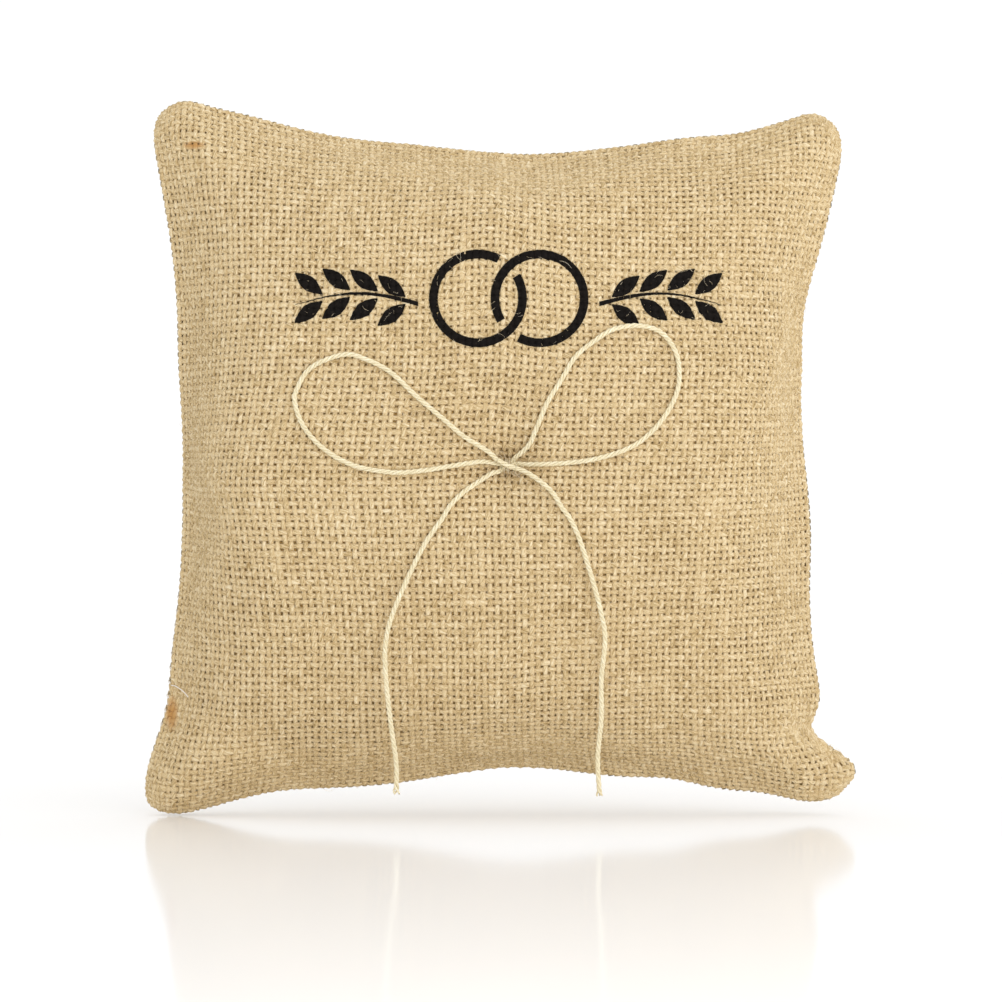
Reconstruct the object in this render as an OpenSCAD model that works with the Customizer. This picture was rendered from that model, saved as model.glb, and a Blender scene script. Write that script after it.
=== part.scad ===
// Burlap ring bearer pillow: a square stuffed cushion with a printed motif
// and a twine bow, standing on the two lower corners.
// X runs across the front, -Y is the front, Z is up. The origin is on the
// ground, under the middle of the pillow. All lengths are in millimetres.

/* [Pillow] */
// Width of the pillow from ear to ear
pillow_w = 200; // [140:1:260]
// Height of the pillow from ear to ear
pillow_h = 200; // [140:1:260]
// Thickness of the stuffed pillow at its middle
pillow_t = 72; // [48:1:96]
// How far the middle of each seam pulls in towards the centre
side_pull = 12.5; // [4:0.5:20]
// Radius of the rounded corner ears
ear_r = 8.5; // [4:0.5:14]
// How much of the lower ears is pressed flat where they stand
foot_press = 1.5; // [1:0.25:2]
// How much thicker the bunched seam makes each ear, on either side
ear_bulk = 4; // [2:0.5:6]
// Depth of the dimple that the bow is tacked into
dimple_depth = 3.5; // [0:0.5:6]
// Radius of that dimple
dimple_r = 14; // [8:1:24]

/* [Cloth] */
// Thickness of the burlap
burlap_t = 1.1; // [0.8:0.1:2]
// Thickness of the cotton lining
lining_t = 0.4; // [0.2:0.1:0.8]
// Width of the turned-in seam allowance
seam_allowance = 10; // [6:1:14]
// Clear space between neighbouring layers
layer_gap = 0.3; // [0.2:0.05:0.6]
// Diameter of the sewing thread
thread_d = 0.5; // [0.3:0.05:0.6]

/* [Closing] */
// Height at which the hand-closed turning gap starts on the left side
closing_from = 22; // [18:1:40]
// Height at which the hand-closed turning gap ends
closing_to = 62; // [50:1:90]
// Distance between two closing stitches
closing_pitch = 4; // [3:0.5:8]
// Width of a closing stitch across the seam
closing_stitch_w = 2.6; // [1.5:0.1:5]
// Length of the loose thread end
thread_end_l = 7.5; // [4:0.5:16]

/* [Print] */
// Height of the middle of the printed motif
motif_z = 145; // [120:1:160]
// Sideways place of the middle of the motif
motif_x = 3; // [-10:1:10]
// Outer radius of each printed ring
ring_r = 13.5; // [8:0.5:16]
// Width of the printed ring bands
ring_band = 2.4; // [1:0.1:4]
// Distance between the centres of the two rings
ring_spacing = 17; // [12:0.5:22]
// Length of each leafy sprig
sprig_l = 34; // [24:1:38]
// Space between the rings and the start of each sprig
sprig_gap = 3; // [1:0.5:6]
// Width of the sprig's stem
stem_w = 1.2; // [0.8:0.1:2]
// Length of the sprig's leaves
leaf_l = 10; // [6:0.5:13]
// Width of the sprig's leaves
leaf_w = 4; // [2:0.25:5]
// Number of leaf pairs on each sprig
leaf_pairs = 4; // [2:1:5]
// Thickness of the ink film
ink_t = 0.2; // [0.1:0.05:0.4]

/* [Bow] */
// Diameter of the bow's twine
twine_d = 1.5; // [1:0.1:2.2]
// Outer radius of the wrap around the knot
knot_r = 2.2; // [1.8:0.1:3]
// Tilt of the wrap around the knot
knot_tilt = 35; // [0:5:60]
// How far in front of the middle plane the tails hang free
tail_hang = 33; // [28:0.5:44]

/* [Hidden] */

burlap_colour = "#cdb482";
lining_colour = "#d9c9a3";
filling_colour = "#f4f2ec";
thread_colour = "#efe9dd";
ink_colour = "#1d1b1a";
twine_colour = "#ebdebe";

// Grid cells along each side of a panel
cells = 14;
// Exponents that shape the pulled-in sides and the rounded ears
side_power = 2.6;
ear_power = 8;
bulk_power = 4;
// Rise of a pressed ear's underside from its lowest row to the pillow's middle
foot_ease = 1;

// A corner rounded to ear_r lies this far inside the square corner
ear_cut = ear_r * (1 - sqrt(0.5));

// Half sizes of the square before its corners are rounded and its feet pressed
half_w = pillow_w / 2 + ear_cut;
half_h = (pillow_h + foot_press) / 2 + ear_cut;
half_t = pillow_t / 2;
mid_z = (pillow_h - foot_press) / 2;

// Clear space between the rims of neighbouring layers, where the layers slant
rim_gap = 3 * layer_gap;

// The inner layers' corners are cut this much, as the bunched seam fills the ears
ear_solid_share = 0.7;
ear_solid = ear_r * ear_solid_share;
lining_corner = ear_solid + rim_gap + layer_gap;
filling_corner = lining_corner + rim_gap;

// Layers, from the middle plane outwards at the seam
thread_clear = 0.1;
seam_gap = thread_d + thread_clear;
burlap_low = seam_gap / 2;
burlap_high = burlap_low + burlap_t;
lining_low = burlap_high + layer_gap;
lining_high = lining_low + lining_t;
filling_low = lining_high + layer_gap;

// How far inside the pillow's outline each layer's own rim lies. A folded
// cloth's inner rim is set in by this share of its thickness.
fold_share = 1.5;
burlap_rim = fold_share * burlap_t;
lining_out_rim = burlap_rim + rim_gap;
lining_in_rim = lining_out_rim + fold_share * lining_t;
filling_rim = lining_in_rim + rim_gap;
allowance_rim = burlap_rim + seam_allowance;

// Heights of the layers at the middle of the pillow
lining_out_top = half_t - burlap_t - layer_gap;
lining_in_top = lining_out_top - lining_t;
filling_top = lining_in_top - layer_gap;

// Clear space between the burlap's rounded face and the ink, whose own facets
// are smaller than the face's
ink_gap = 1.5 * layer_gap;
// Half of the angle that a ring leaves open where the other one passes over it
crossing_gap = 16;
// Height of the bow in a sprig's stem, and how thick its tip stays
stem_bow = 3;
stem_tip = 0.05;
// Rise of the leaves over the stem, and their clear space beside it
leaf_turn = 38;
leaf_clear = 0.3;
// Shares of the stem's length at the first leaves and from there to the last
first_leaf = 0.1;
leaf_span = 0.68;
// Share of a leaf's length that its pointed ends lack
leaf_blunt = 0.02;

// Where the loose thread end starts, in stitches over the lowest one, how far
// it lies inside the edge, and how steeply it falls
thread_end_at = 3.5;
thread_end_in = 1;
thread_end_fall = 0.35;

// Diameter of the pulled-tight thread over the knot
tack_d = thread_d * 0.6;

// The middle of the bow, a little right of the middle of the pillow
bow_x = 2.5;
bow_z = 99;

// Routes of the twine across the front, as [x, z, lift]: the place on the
// face and how far the twine is held off it there
left_loop_route = [
    [-0.2, 100.5, 2.2], [-3, 103, 1.6], [-9.5, 107, 0.6], [-16, 112.5, 0.2],
    [-22.5, 118, 0], [-29.5, 124.5, 0], [-36, 128, 0], [-42.5, 129.5, 0],
    [-51.5, 126, 0], [-55.5, 120, 0], [-56, 116, 0], [-53.5, 109.5, 0],
    [-48, 103.5, 0], [-40, 99, 0], [-29.5, 97, 0], [-20.5, 97.5, 0],
    [-11.5, 99, 0.2], [-4.5, 100, 0.6], [-0.4, 99.5, 0.6]];
right_loop_route = [
    [4.6, 100.9, 0.8], [8.5, 104.5, 0.6], [11, 110, 0.2], [13.5, 116, 0],
    [17.5, 122.5, 0], [21.5, 129, 0], [27, 133.5, 0], [32, 136.5, 0.3],
    [38.5, 137.5, 0.4], [44.5, 136, 0.3], [48.5, 131.5, 0], [50, 126, 0],
    [49.5, 119.5, 0], [46, 112.5, 0], [40.5, 106.5, 0], [34.5, 103, 0],
    [26, 100.5, 0], [17.5, 99.5, 0], [9, 99.2, 0.3], [5.3, 99.4, 0.5]];
left_tail_route = [
    [0.6, 97.4, 0.6], [-2, 96.6, 0.8], [-6, 94, 0.8], [-9.5, 91.5, 0.6],
    [-13, 88, 0.4], [-15.5, 84, 0.2], [-20, 77.5, 0], [-25, 67.5, 0],
    [-29.5, 56.5, 0], [-31, 49, 0], [-31, 43.5, 0], [-30.5, 36.5, 0],
    [-29.5, 28, 0], [-28, 17, 0], [-28, 8.5, 0]];
right_tail_route = [
    [4.8, 98.2, 2.4], [7.5, 97.2, 2.2], [11, 95, 1.6], [15, 91.5, 1],
    [17.5, 87.5, 0.6], [20, 84, 0.3], [22.5, 78.5, 0.1], [26, 67.5, 0],
    [28.5, 58, 0], [29.5, 51, 0], [28.5, 40, 0], [28.5, 29.5, 0],
    [27.5, 18.5, 0], [28, 8, 0]];

// Share of the full thickness at a place on the panel
function swell(a, b) = cos(a) * cos(b);

// Narrowing of the panel at the height or width share v
function pull_in(v, half) = 1 - side_pull / half * (1 - pow(abs(v), side_power));

// Drop of the face inside the dimple under the bow
function dimple(x, z) =
    dimple_depth * exp(-(pow(x - bow_x, 2) + pow(z - bow_z, 2)) / pow(dimple_r, 2));

// Point of a layer at the grid angles a and b, with the layer's rim this far
// inside the outline, its corners cut by corner, and its height from low at
// the rim to high in the middle, with the ears made thicker by bulk. The two
// lower ears are pressed flat where they stand. The way is -1 for the front
// and 1 for the back.
function layer_point(a, b, rim, corner, low, high, way, bulk = 0) =
    let (u = sin(a), v = sin(b))
    let (round_off = pow(abs(u * v), ear_power))
    let (x = (half_w - rim) * u * pull_in(v, half_w) * (1 - corner / half_w * round_off))
    let (z = mid_z + (half_h - rim) * v * pull_in(u, half_h) * (1 - corner / half_h * round_off))
    let (rise = low + (high - low) * swell(a, b) - (way < 0 ? dimple(x, z) : 0))
    let (y = rise + bulk * pow(abs(u * v), bulk_power))
    [x, way * y, max(z, rim + foot_ease * (1 - abs(v)))];

// Angle of grid line i
function grid_angle(i) = -90 + 180 * i / cells;

// Every point of one layer, row by row
function layer_grid(rim, corner, low, high, way, bulk = 0) = [
    for (j = [0:cells]) for (i = [0:cells])
        layer_point(grid_angle(i), grid_angle(j), rim, corner, low, high, way, bulk)];

// Index of a grid point, and the indices around the grid's edge
function grid_id(i, j) = j * (cells + 1) + i;
function edge_ids() = [
    for (i = [0:cells - 1]) grid_id(i, 0),
    for (j = [0:cells - 1]) grid_id(cells, j),
    for (i = [0:cells - 1]) grid_id(cells - i, cells),
    for (j = [0:cells - 1]) grid_id(0, cells - j)];

// Points around a layer's edge, in the same order as edge_ids
function edge_ring(rim, corner, y) = [
    for (id = edge_ids())
        let (i = id % (cells + 1), j = floor(id / (cells + 1)))
        let (p = layer_point(grid_angle(i), grid_angle(j), rim, corner, 0, 0, 1))
        [p.x, y, p.z]];

// Triangles of one grid that starts at point number first
function grid_faces(first, flip) = [
    for (j = [0:cells - 1]) for (i = [0:cells - 1])
        let (p = first + grid_id(i, j), q = first + grid_id(i + 1, j))
        let (r = first + grid_id(i + 1, j + 1), s = first + grid_id(i, j + 1))
        each flip ? [[p, q, r], [p, r, s]] : [[p, r, q], [p, s, r]]];

// Triangles between two closed loops with as many points each
function strip_faces(lower, upper) = [
    for (k = [0:len(lower) - 1])
        let (n = (k + 1) % len(lower))
        each [[lower[k], upper[n], lower[n]], [lower[k], upper[k], upper[n]]]];

// Numbers of count points in a row
function run(first, count) = [for (k = [0:count - 1]) first + k];

// The same triangles seen from the other side for the back, where way is 1
function facing(faces, way) = way < 0 ? faces : [for (f = faces) [f[0], f[2], f[1]]];

// One half of a sewn cover: the crowned face, the fold at the seam, which is a
// quarter of the cloth deep, and the turned-in allowance, as one closed shell
module cover_half(rim_out, rim_in, corner_out, corner_in, low, wall, high, way, bulk = 0) {
    grid_n = (cells + 1) * (cells + 1);
    edge_n = 4 * cells;
    folded = low + wall;
    outer = layer_grid(rim_out, corner_out, low + wall / 4, high, way, bulk);
    inner = layer_grid(rim_in, corner_in, folded, high - wall, way);
    edge = edge_ids();
    seam = run(grid_n, edge_n);
    under = run(grid_n + edge_n, edge_n);
    over = run(grid_n + 2 * edge_n, edge_n);
    inner_first = grid_n + 3 * edge_n;
    polyhedron(
        points = concat(
            outer,
            edge_ring(rim_out, corner_out, way * low),
            edge_ring(allowance_rim, ear_cut, way * low),
            edge_ring(allowance_rim, ear_cut, way * folded),
            inner),
        faces = facing(concat(
            grid_faces(0, false),
            strip_faces(seam, edge),
            strip_faces(under, seam),
            strip_faces(over, under),
            strip_faces([for (id = edge) inner_first + id], over),
            grid_faces(inner_first, true)), way));
}

// Largest share of a half size that a place on the face is reckoned at
face_end = 0.98;
function kept(share) = max(-face_end, min(face_end, share));

// Shares [u, v] of the half sizes at x and z. Each narrows the other, so they
// are worked out in turn, from a first guess of u, this many times.
function face_share(x, z, u = 0, turns = 4) =
    let (v_now = kept((z - mid_z) / (half_h * pull_in(u, half_h))))
    let (u_now = kept(x / (half_w * pull_in(v_now, half_w))))
    turns == 0 ? [u_now, v_now] : face_share(x, z, u_now, turns - 1);

// Height of the front face over the middle plane at x and z
function face_height(x, z) =
    let (share = face_share(x, z))
    let (u = share.x, v = share.y)
    burlap_low + (half_t - burlap_low) * sqrt((1 - u * u) * (1 - v * v))
        - dimple(x, z) + ear_bulk * pow(abs(u * v), bulk_power);

// Half width of the pillow at height z
function side_x(z) = half_w * pull_in((z - mid_z) / half_h, half_w);

function unit(v) = v / norm(v);

// Rings of a tube swept along a route of [x, y, z] points
function tube_points(route, radius, sides) = [
    for (k = [0:len(route) - 1])
        let (before = route[max(k - 1, 0)])
        let (after = route[min(k + 1, len(route) - 1)])
        let (along = unit(after - before))
        let (side = unit(cross(along, [0, 1, 0])))
        let (up = cross(side, along))
        for (s = [0:sides - 1])
            route[k] + radius * (cos(360 * s / sides) * side + sin(360 * s / sides) * up)];

// A round tube along a route, closed at both ends
module tube(route, diameter, sides = 8) {
    rings = len(route);
    polyhedron(
        points = tube_points(route, diameter / 2, sides),
        faces = concat(
            [[for (s = [0:sides - 1]) sides - 1 - s]],
            [for (k = [0:rings - 2]) for (s = [0:sides - 1])
                let (n = (s + 1) % sides)
                each [
                    [k * sides + s, k * sides + n, (k + 1) * sides + n],
                    [k * sides + s, (k + 1) * sides + n, (k + 1) * sides + s]]],
            [[for (s = [0:sides - 1]) (rings - 1) * sides + s]]));
}

// Twine that lies on the front face and hangs free once the face falls back
// behind the distance hang
function on_face(route, hang) = [
    for (p = route)
        [p.x, -(max(face_height(p.x, p.y) + p.z, hang) + twine_d / 2 + layer_gap), p.y]];

// A flat patch of ink between two edges with as many points each, laid on the face
module ink_strip(one_edge, other_edge) {
    count = len(one_edge);
    flat = concat(one_edge, other_edge);
    function lift(p, extra) = [p.x, -(face_height(p.x, p.y) + ink_gap + extra), p.y];
    low = [for (p = flat) lift(p, 0)];
    high = [for (p = flat) lift(p, ink_t)];
    total = 2 * count;
    around = concat(run(0, count), [for (k = [0:count - 1]) total - 1 - k]);
    polyhedron(
        points = concat(low, high),
        faces = concat(
            [for (k = [0:count - 2]) each [
                [k, count + k + 1, k + 1], [k, count + k, count + k + 1]]],
            [for (k = [0:count - 2]) each [
                [total + k, total + k + 1, total + count + k + 1],
                [total + k, total + count + k + 1, total + count + k]]],
            [for (k = [0:total - 1])
                let (a = around[k], b = around[(k + 1) % total])
                each [[a, total + b, total + a], [a, b, total + b]]]));
}

// Points of an arc round a centre
function arc(centre, radius, from, to, steps) = [
    for (k = [0:steps])
        let (t = from + (to - from) * k / steps)
        centre + radius * [cos(t), sin(t)]];

// Ring band with one gap, where the other ring passes over it
module ring_print(centre, gap_at) {
    steps = 40;
    from = gap_at + crossing_gap;
    to = gap_at + 360 - crossing_gap;
    ink_strip(
        arc(centre, ring_r - ring_band, from, to, steps),
        arc(centre, ring_r, from, to, steps));
}

// A pointed leaf that grows from root at an angle to the level, and points to
// the right for way = 1 and to the left for way = -1
module leaf_print(root, angle, way) {
    steps = 8;
    along = [way * cos(angle), sin(angle)];
    across = [-sin(angle), way * cos(angle)];
    function side(sign) = [
        for (k = [0:steps])
            let (t = leaf_blunt + (1 - 2 * leaf_blunt) * k / steps)
            root + leaf_l * t * along + sign * leaf_w / 2 * sin(180 * t) * across];
    ink_strip(side(1), side(-1));
}

// Height of the sprig's gently curved stem at the distance t along it
function stem_rise(t) = stem_bow * (sin(180 * t) - 1 / 2);

// A leafy sprig beside the rings, pointing to the right for way = 1 and to
// the left for way = -1
module sprig_print(way) {
    steps = 16;
    start = [motif_x + way * (ring_spacing / 2 + ring_r + sprig_gap), motif_z];
    function stem(sign) = [
        for (k = [0:steps])
            let (t = k / steps)
            start + [way * sprig_l * t,
                     stem_rise(t) + sign * way * stem_w / 2 * (1 + stem_tip - t)]];
    clear = stem_w / 2 + leaf_clear;
    ink_strip(stem(1), stem(-1));
    for (k = [0:leaf_pairs - 1]) {
        t = first_leaf + leaf_span * k / (leaf_pairs - 1);
        root = start + [way * sprig_l * t, stem_rise(t)];
        leaf_print(root + [0, clear], leaf_turn, way);
        leaf_print(root - [0, clear], -leaf_turn, way);
    }
}

module panel(way) {
    cover_half(0, burlap_rim, ear_cut, ear_solid, burlap_low, burlap_t, half_t, way, ear_bulk);
}

// Lining half, cut to the same seam and folded with the burlap
module lining_half(way) {
    cover_half(lining_out_rim, lining_in_rim, lining_corner, lining_corner,
               lining_low, lining_t, lining_out_top, way);
}

module front_panel() {
    color(burlap_colour)
        panel(-1);
}

module back_panel() {
    color(burlap_colour)
        panel(1);
}

module front_lining() {
    color(lining_colour)
        lining_half(-1);
}

module back_lining() {
    color(lining_colour)
        lining_half(1);
}

// Loose fibre in the shape of the space that it fills, with a groove where
// the seam allowances lie
module fibre_filling() {
    grid_n = (cells + 1) * (cells + 1);
    edge_n = 4 * cells;
    groove_rim = allowance_rim + 2 * layer_gap;
    front = layer_grid(filling_rim, filling_corner, filling_low, filling_top, -1);
    back = layer_grid(filling_rim, filling_corner, filling_low, filling_top, 1);
    edge = edge_ids();
    back_first = grid_n + 2 * edge_n;
    color(filling_colour)
        polyhedron(
            points = concat(
                front,
                edge_ring(groove_rim, ear_cut, -filling_low),
                edge_ring(groove_rim, ear_cut, filling_low),
                back),
            faces = concat(
                grid_faces(0, false),
                strip_faces(run(grid_n, edge_n), edge),
                strip_faces(run(grid_n + edge_n, edge_n), run(grid_n, edge_n)),
                strip_faces([for (id = edge) back_first + id], run(grid_n + edge_n, edge_n)),
                grid_faces(back_first, true)));
}

// The machine seam: thread that runs all round, between the two panels
module seam_thread() {
    stitch_line = burlap_rim / 2 + thread_d / 2;
    ring = edge_ring(stitch_line, ear_cut, 0);
    sides = 6;
    count = len(ring);
    middle = [0, 0, mid_z];
    color(thread_colour)
        polyhedron(
            points = [
                for (p = ring) for (s = [0:sides - 1])
                    p + thread_d / 2 * (cos(360 * s / sides) * unit(p - middle)
                        + sin(360 * s / sides) * [0, 1, 0])],
            faces = [
                for (k = [0:count - 1]) for (s = [0:sides - 1])
                    let (m = (k + 1) % count, n = (s + 1) % sides)
                    each [
                        [k * sides + s, m * sides + s, m * sides + n],
                        [k * sides + s, m * sides + n, k * sides + n]]]);
}

// Hand stitches across the turning gap on the left side
module closing_stitches() {
    color(thread_colour)
        for (z = [closing_from:closing_pitch:closing_to])
            translate([-side_x(z) - thread_d / 2 - layer_gap, 0, z])
                rotate([90, 0, 0])
                    cylinder(d = thread_d, h = closing_stitch_w, center = true, $fn = 16);
}

// End of the closing thread, left loose on the front
module closing_thread_end() {
    start_z = closing_from + thread_end_at * closing_pitch;
    steps = 6;
    route = [
        for (k = [0:steps])
            let (along = thread_end_l * k / steps)
            let (x = -side_x(start_z) + thread_end_in + along)
            let (z = start_z - thread_end_fall * along)
            [x, -(face_height(x, z) + thread_d / 2 + 2 * layer_gap), z]];
    color(thread_colour)
        tube(route, thread_d);
}

module rings_print() {
    middle = [motif_x, motif_z];
    offset = [ring_spacing / 2, 0];
    crossing = acos(ring_spacing / (2 * ring_r - ring_band));
    color(ink_colour) {
        ring_print(middle - offset, crossing);
        ring_print(middle + offset, 180 + crossing);
    }
}

module left_sprig_print() {
    color(ink_colour)
        sprig_print(-1);
}

module right_sprig_print() {
    color(ink_colour)
        sprig_print(1);
}

// Distance of the knot's middle from the middle plane
function knot_y() = face_height(bow_x, bow_z) + knot_r + 2 * layer_gap;

// Twine wrapped on a slant round the crossing of the bow
module bow_knot() {
    core_r = knot_r - twine_d / 2;
    color(twine_colour)
        translate([bow_x, -knot_y(), bow_z])
            rotate([0, knot_tilt, 0])
                union() {
                    rotate_extrude($fn = 24)
                        translate([core_r, 0])
                            circle(d = twine_d, $fn = 16);
                    cylinder(r = core_r, h = twine_d, center = true, $fn = 24);
                }
}

module left_loop() {
    color(twine_colour)
        tube(on_face(left_loop_route, 0), twine_d);
}

module right_loop() {
    color(twine_colour)
        tube(on_face(right_loop_route, 0), twine_d);
}

module left_tail() {
    color(twine_colour)
        tube(on_face(left_tail_route, tail_hang), twine_d);
}

module right_tail() {
    color(twine_colour)
        tube(on_face(right_tail_route, tail_hang), twine_d);
}

// Two stitches of fine thread over the knot that hold it down
module tack_stitches() {
    reach = knot_r + thread_d / 2;
    foot = knot_y() - knot_r + thread_d / 2 + layer_gap / 2;
    steps = 8;
    color(thread_colour)
        for (side = [-1, 1]) {
            route = [
                for (k = [0:steps])
                    let (t = 180 * k / steps)
                    [bow_x + side * twine_d / 3,
                     -(foot + (knot_r + reach) * sin(t)),
                     bow_z + reach * cos(t)]];
            tube(route, tack_d, 6);
        }
}

front_panel();
back_panel();
front_lining();
back_lining();
fibre_filling();
seam_thread();
closing_stitches();
closing_thread_end();
rings_print();
left_sprig_print();
right_sprig_print();
bow_knot();
left_loop();
right_loop();
left_tail();
right_tail();
tack_stitches();
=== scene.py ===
"""Looks of a burlap ring bearer pillow with a printed motif and a twine bow, built round its frame.

Sizes are in metres and places are in the frame's own axes: +X runs across the front from the left
ear to the right ear, -Y comes out of the printed front, and +Z is up.
"""

import logging
import math
from collections.abc import Sequence
from dataclasses import dataclass, field
from enum import Enum

import bmesh
import bpy
import numpy as np
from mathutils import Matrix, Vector
from numpy.typing import NDArray


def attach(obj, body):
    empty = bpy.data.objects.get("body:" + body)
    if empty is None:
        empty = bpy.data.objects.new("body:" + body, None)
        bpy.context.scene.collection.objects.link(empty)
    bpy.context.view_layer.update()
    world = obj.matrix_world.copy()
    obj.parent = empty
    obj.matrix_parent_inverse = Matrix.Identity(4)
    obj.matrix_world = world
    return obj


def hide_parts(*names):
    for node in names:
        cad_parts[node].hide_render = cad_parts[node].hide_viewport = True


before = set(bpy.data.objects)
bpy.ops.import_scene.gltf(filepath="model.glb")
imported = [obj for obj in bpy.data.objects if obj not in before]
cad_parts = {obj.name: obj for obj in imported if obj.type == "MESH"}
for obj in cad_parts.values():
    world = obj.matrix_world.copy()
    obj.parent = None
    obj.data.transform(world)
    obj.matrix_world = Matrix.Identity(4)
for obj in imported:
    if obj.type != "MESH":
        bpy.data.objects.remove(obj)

Array = NDArray[np.float64]
Colour = tuple[float, float, float, float]

LOG = logging.getLogger("ring_pillow")
BODY = "root"
MM = 0.001
TURN = 2 * math.pi

# Place, in the frame's axes, of the pillow's middle, and [x, z] of the bow's knot on the front.
CENTRE = (0.0, 0.0, 100 * MM)
KNOT_PLACE = (2.5 * MM, 99 * MM)

# Turns per metre of the fibres in a burlap yarn.
YARN_TWIST = 110.0

# Weights of the four points round one stretch of a smooth line, a row for each power of the place.
CURVE = np.array([[0, 1, 0, 0], [-0.5, 0, 0.5, 0], [1, -2.5, 2, -0.5], [-0.5, 1.5, -1.5, 0.5]])


class Face(Enum):
    """Which of the two sewn squares a piece belongs to."""

    FRONT = -1
    BACK = 1


class Lay(Enum):
    """Which way a yarn of the plain weave runs."""

    WARP = "warp"
    WEFT = "weft"


class Side(Enum):
    """A sewn side of the square, as the direction out of it across and up."""

    LEFT = (-1, 0)
    RIGHT = (1, 0)
    BOTTOM = (0, -1)
    TOP = (0, 1)


def paint(red: int, green: int, blue: int) -> Colour:
    """Give the linear colour of a paint named by its 0 to 255 display values.

    Args:
        red: Display value of red.
        green: Display value of green.
        blue: Display value of blue.

    Returns:
        The linear colour with full opacity.
    """
    knee, slope, offset, power = 0.04045, 12.92, 0.055, 2.4
    shares = [value / 255 for value in (red, green, blue)]
    linear = [s / slope if s <= knee else ((s + offset) / (1 + offset)) ** power for s in shares]
    return (linear[0], linear[1], linear[2], 1.0)


def unit(vectors: Array) -> Array:
    """Scale vectors to length one along their last axis."""
    return vectors / np.maximum(np.linalg.norm(vectors, axis=-1, keepdims=True), 1e-12)


def wander(rng: np.random.Generator, count: int, reach: int) -> Array:
    """Make a slow random wander with a spread of about one.

    Args:
        rng: Seeded source of the draws.
        count: Number of values.
        reach: Number of values over which the wander stays alike.

    Returns:
        The values, in a row.
    """
    raw = rng.standard_normal(count + 6 * reach)
    window = np.exp(-0.5 * (np.arange(-3 * reach, 3 * reach + 1) / reach) ** 2)
    return np.convolve(raw, window / math.sqrt(float((window**2).sum())), mode="valid")


def arc_lengths(line: Array) -> Array:
    """Measure how far along a line each of its points is."""
    steps = np.linalg.norm(np.diff(line, axis=0), axis=1)
    return np.concatenate([[0.0], np.cumsum(steps)])


def respaced(line: Array, spacing: float) -> Array:
    """Put points at even distances along a line.

    Args:
        line: Points of the line.
        spacing: Wanted distance between points.

    Returns:
        The line's new points, with both ends kept.
    """
    along = arc_lengths(line)
    count = max(3, int(round(along[-1] / spacing)) + 1)
    wanted = np.linspace(0.0, along[-1], count)
    return np.stack([np.interp(wanted, along, line[:, axis]) for axis in range(line.shape[1])], axis=1)


def curve_weights(t: Array) -> tuple[Array, Array]:
    """Give the weights of the four points round one stretch of a smooth line.

    Args:
        t: Places on the stretch, from 0 at its start to 1 at its end.

    Returns:
        The weights for the line at each place, and those for its slope.
    """
    one, none = np.ones_like(t), np.zeros_like(t)
    powers = np.stack([one, t, t**2, t**3], axis=-1)
    slopes = np.stack([none, one, 2 * t, 3 * t**2], axis=-1)
    return powers @ CURVE, slopes @ CURVE


def rounded(points: Array, spacing: float) -> Array:
    """Lay a smooth line through points.

    Args:
        points: Points that the line goes through.
        spacing: Distance between the points of the result.

    Returns:
        Evenly spaced points of the smooth line.
    """
    before = 2 * points[0] - points[1]
    after = 2 * points[-1] - points[-2]
    held = np.vstack([before, points, after])
    weights, _ = curve_weights(np.linspace(0, 1, 16, endpoint=False))
    pieces = [weights @ held[k : k + 4] for k in range(len(points) - 1)]
    return respaced(np.vstack([*pieces, points[-1:]]), spacing)


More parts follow.
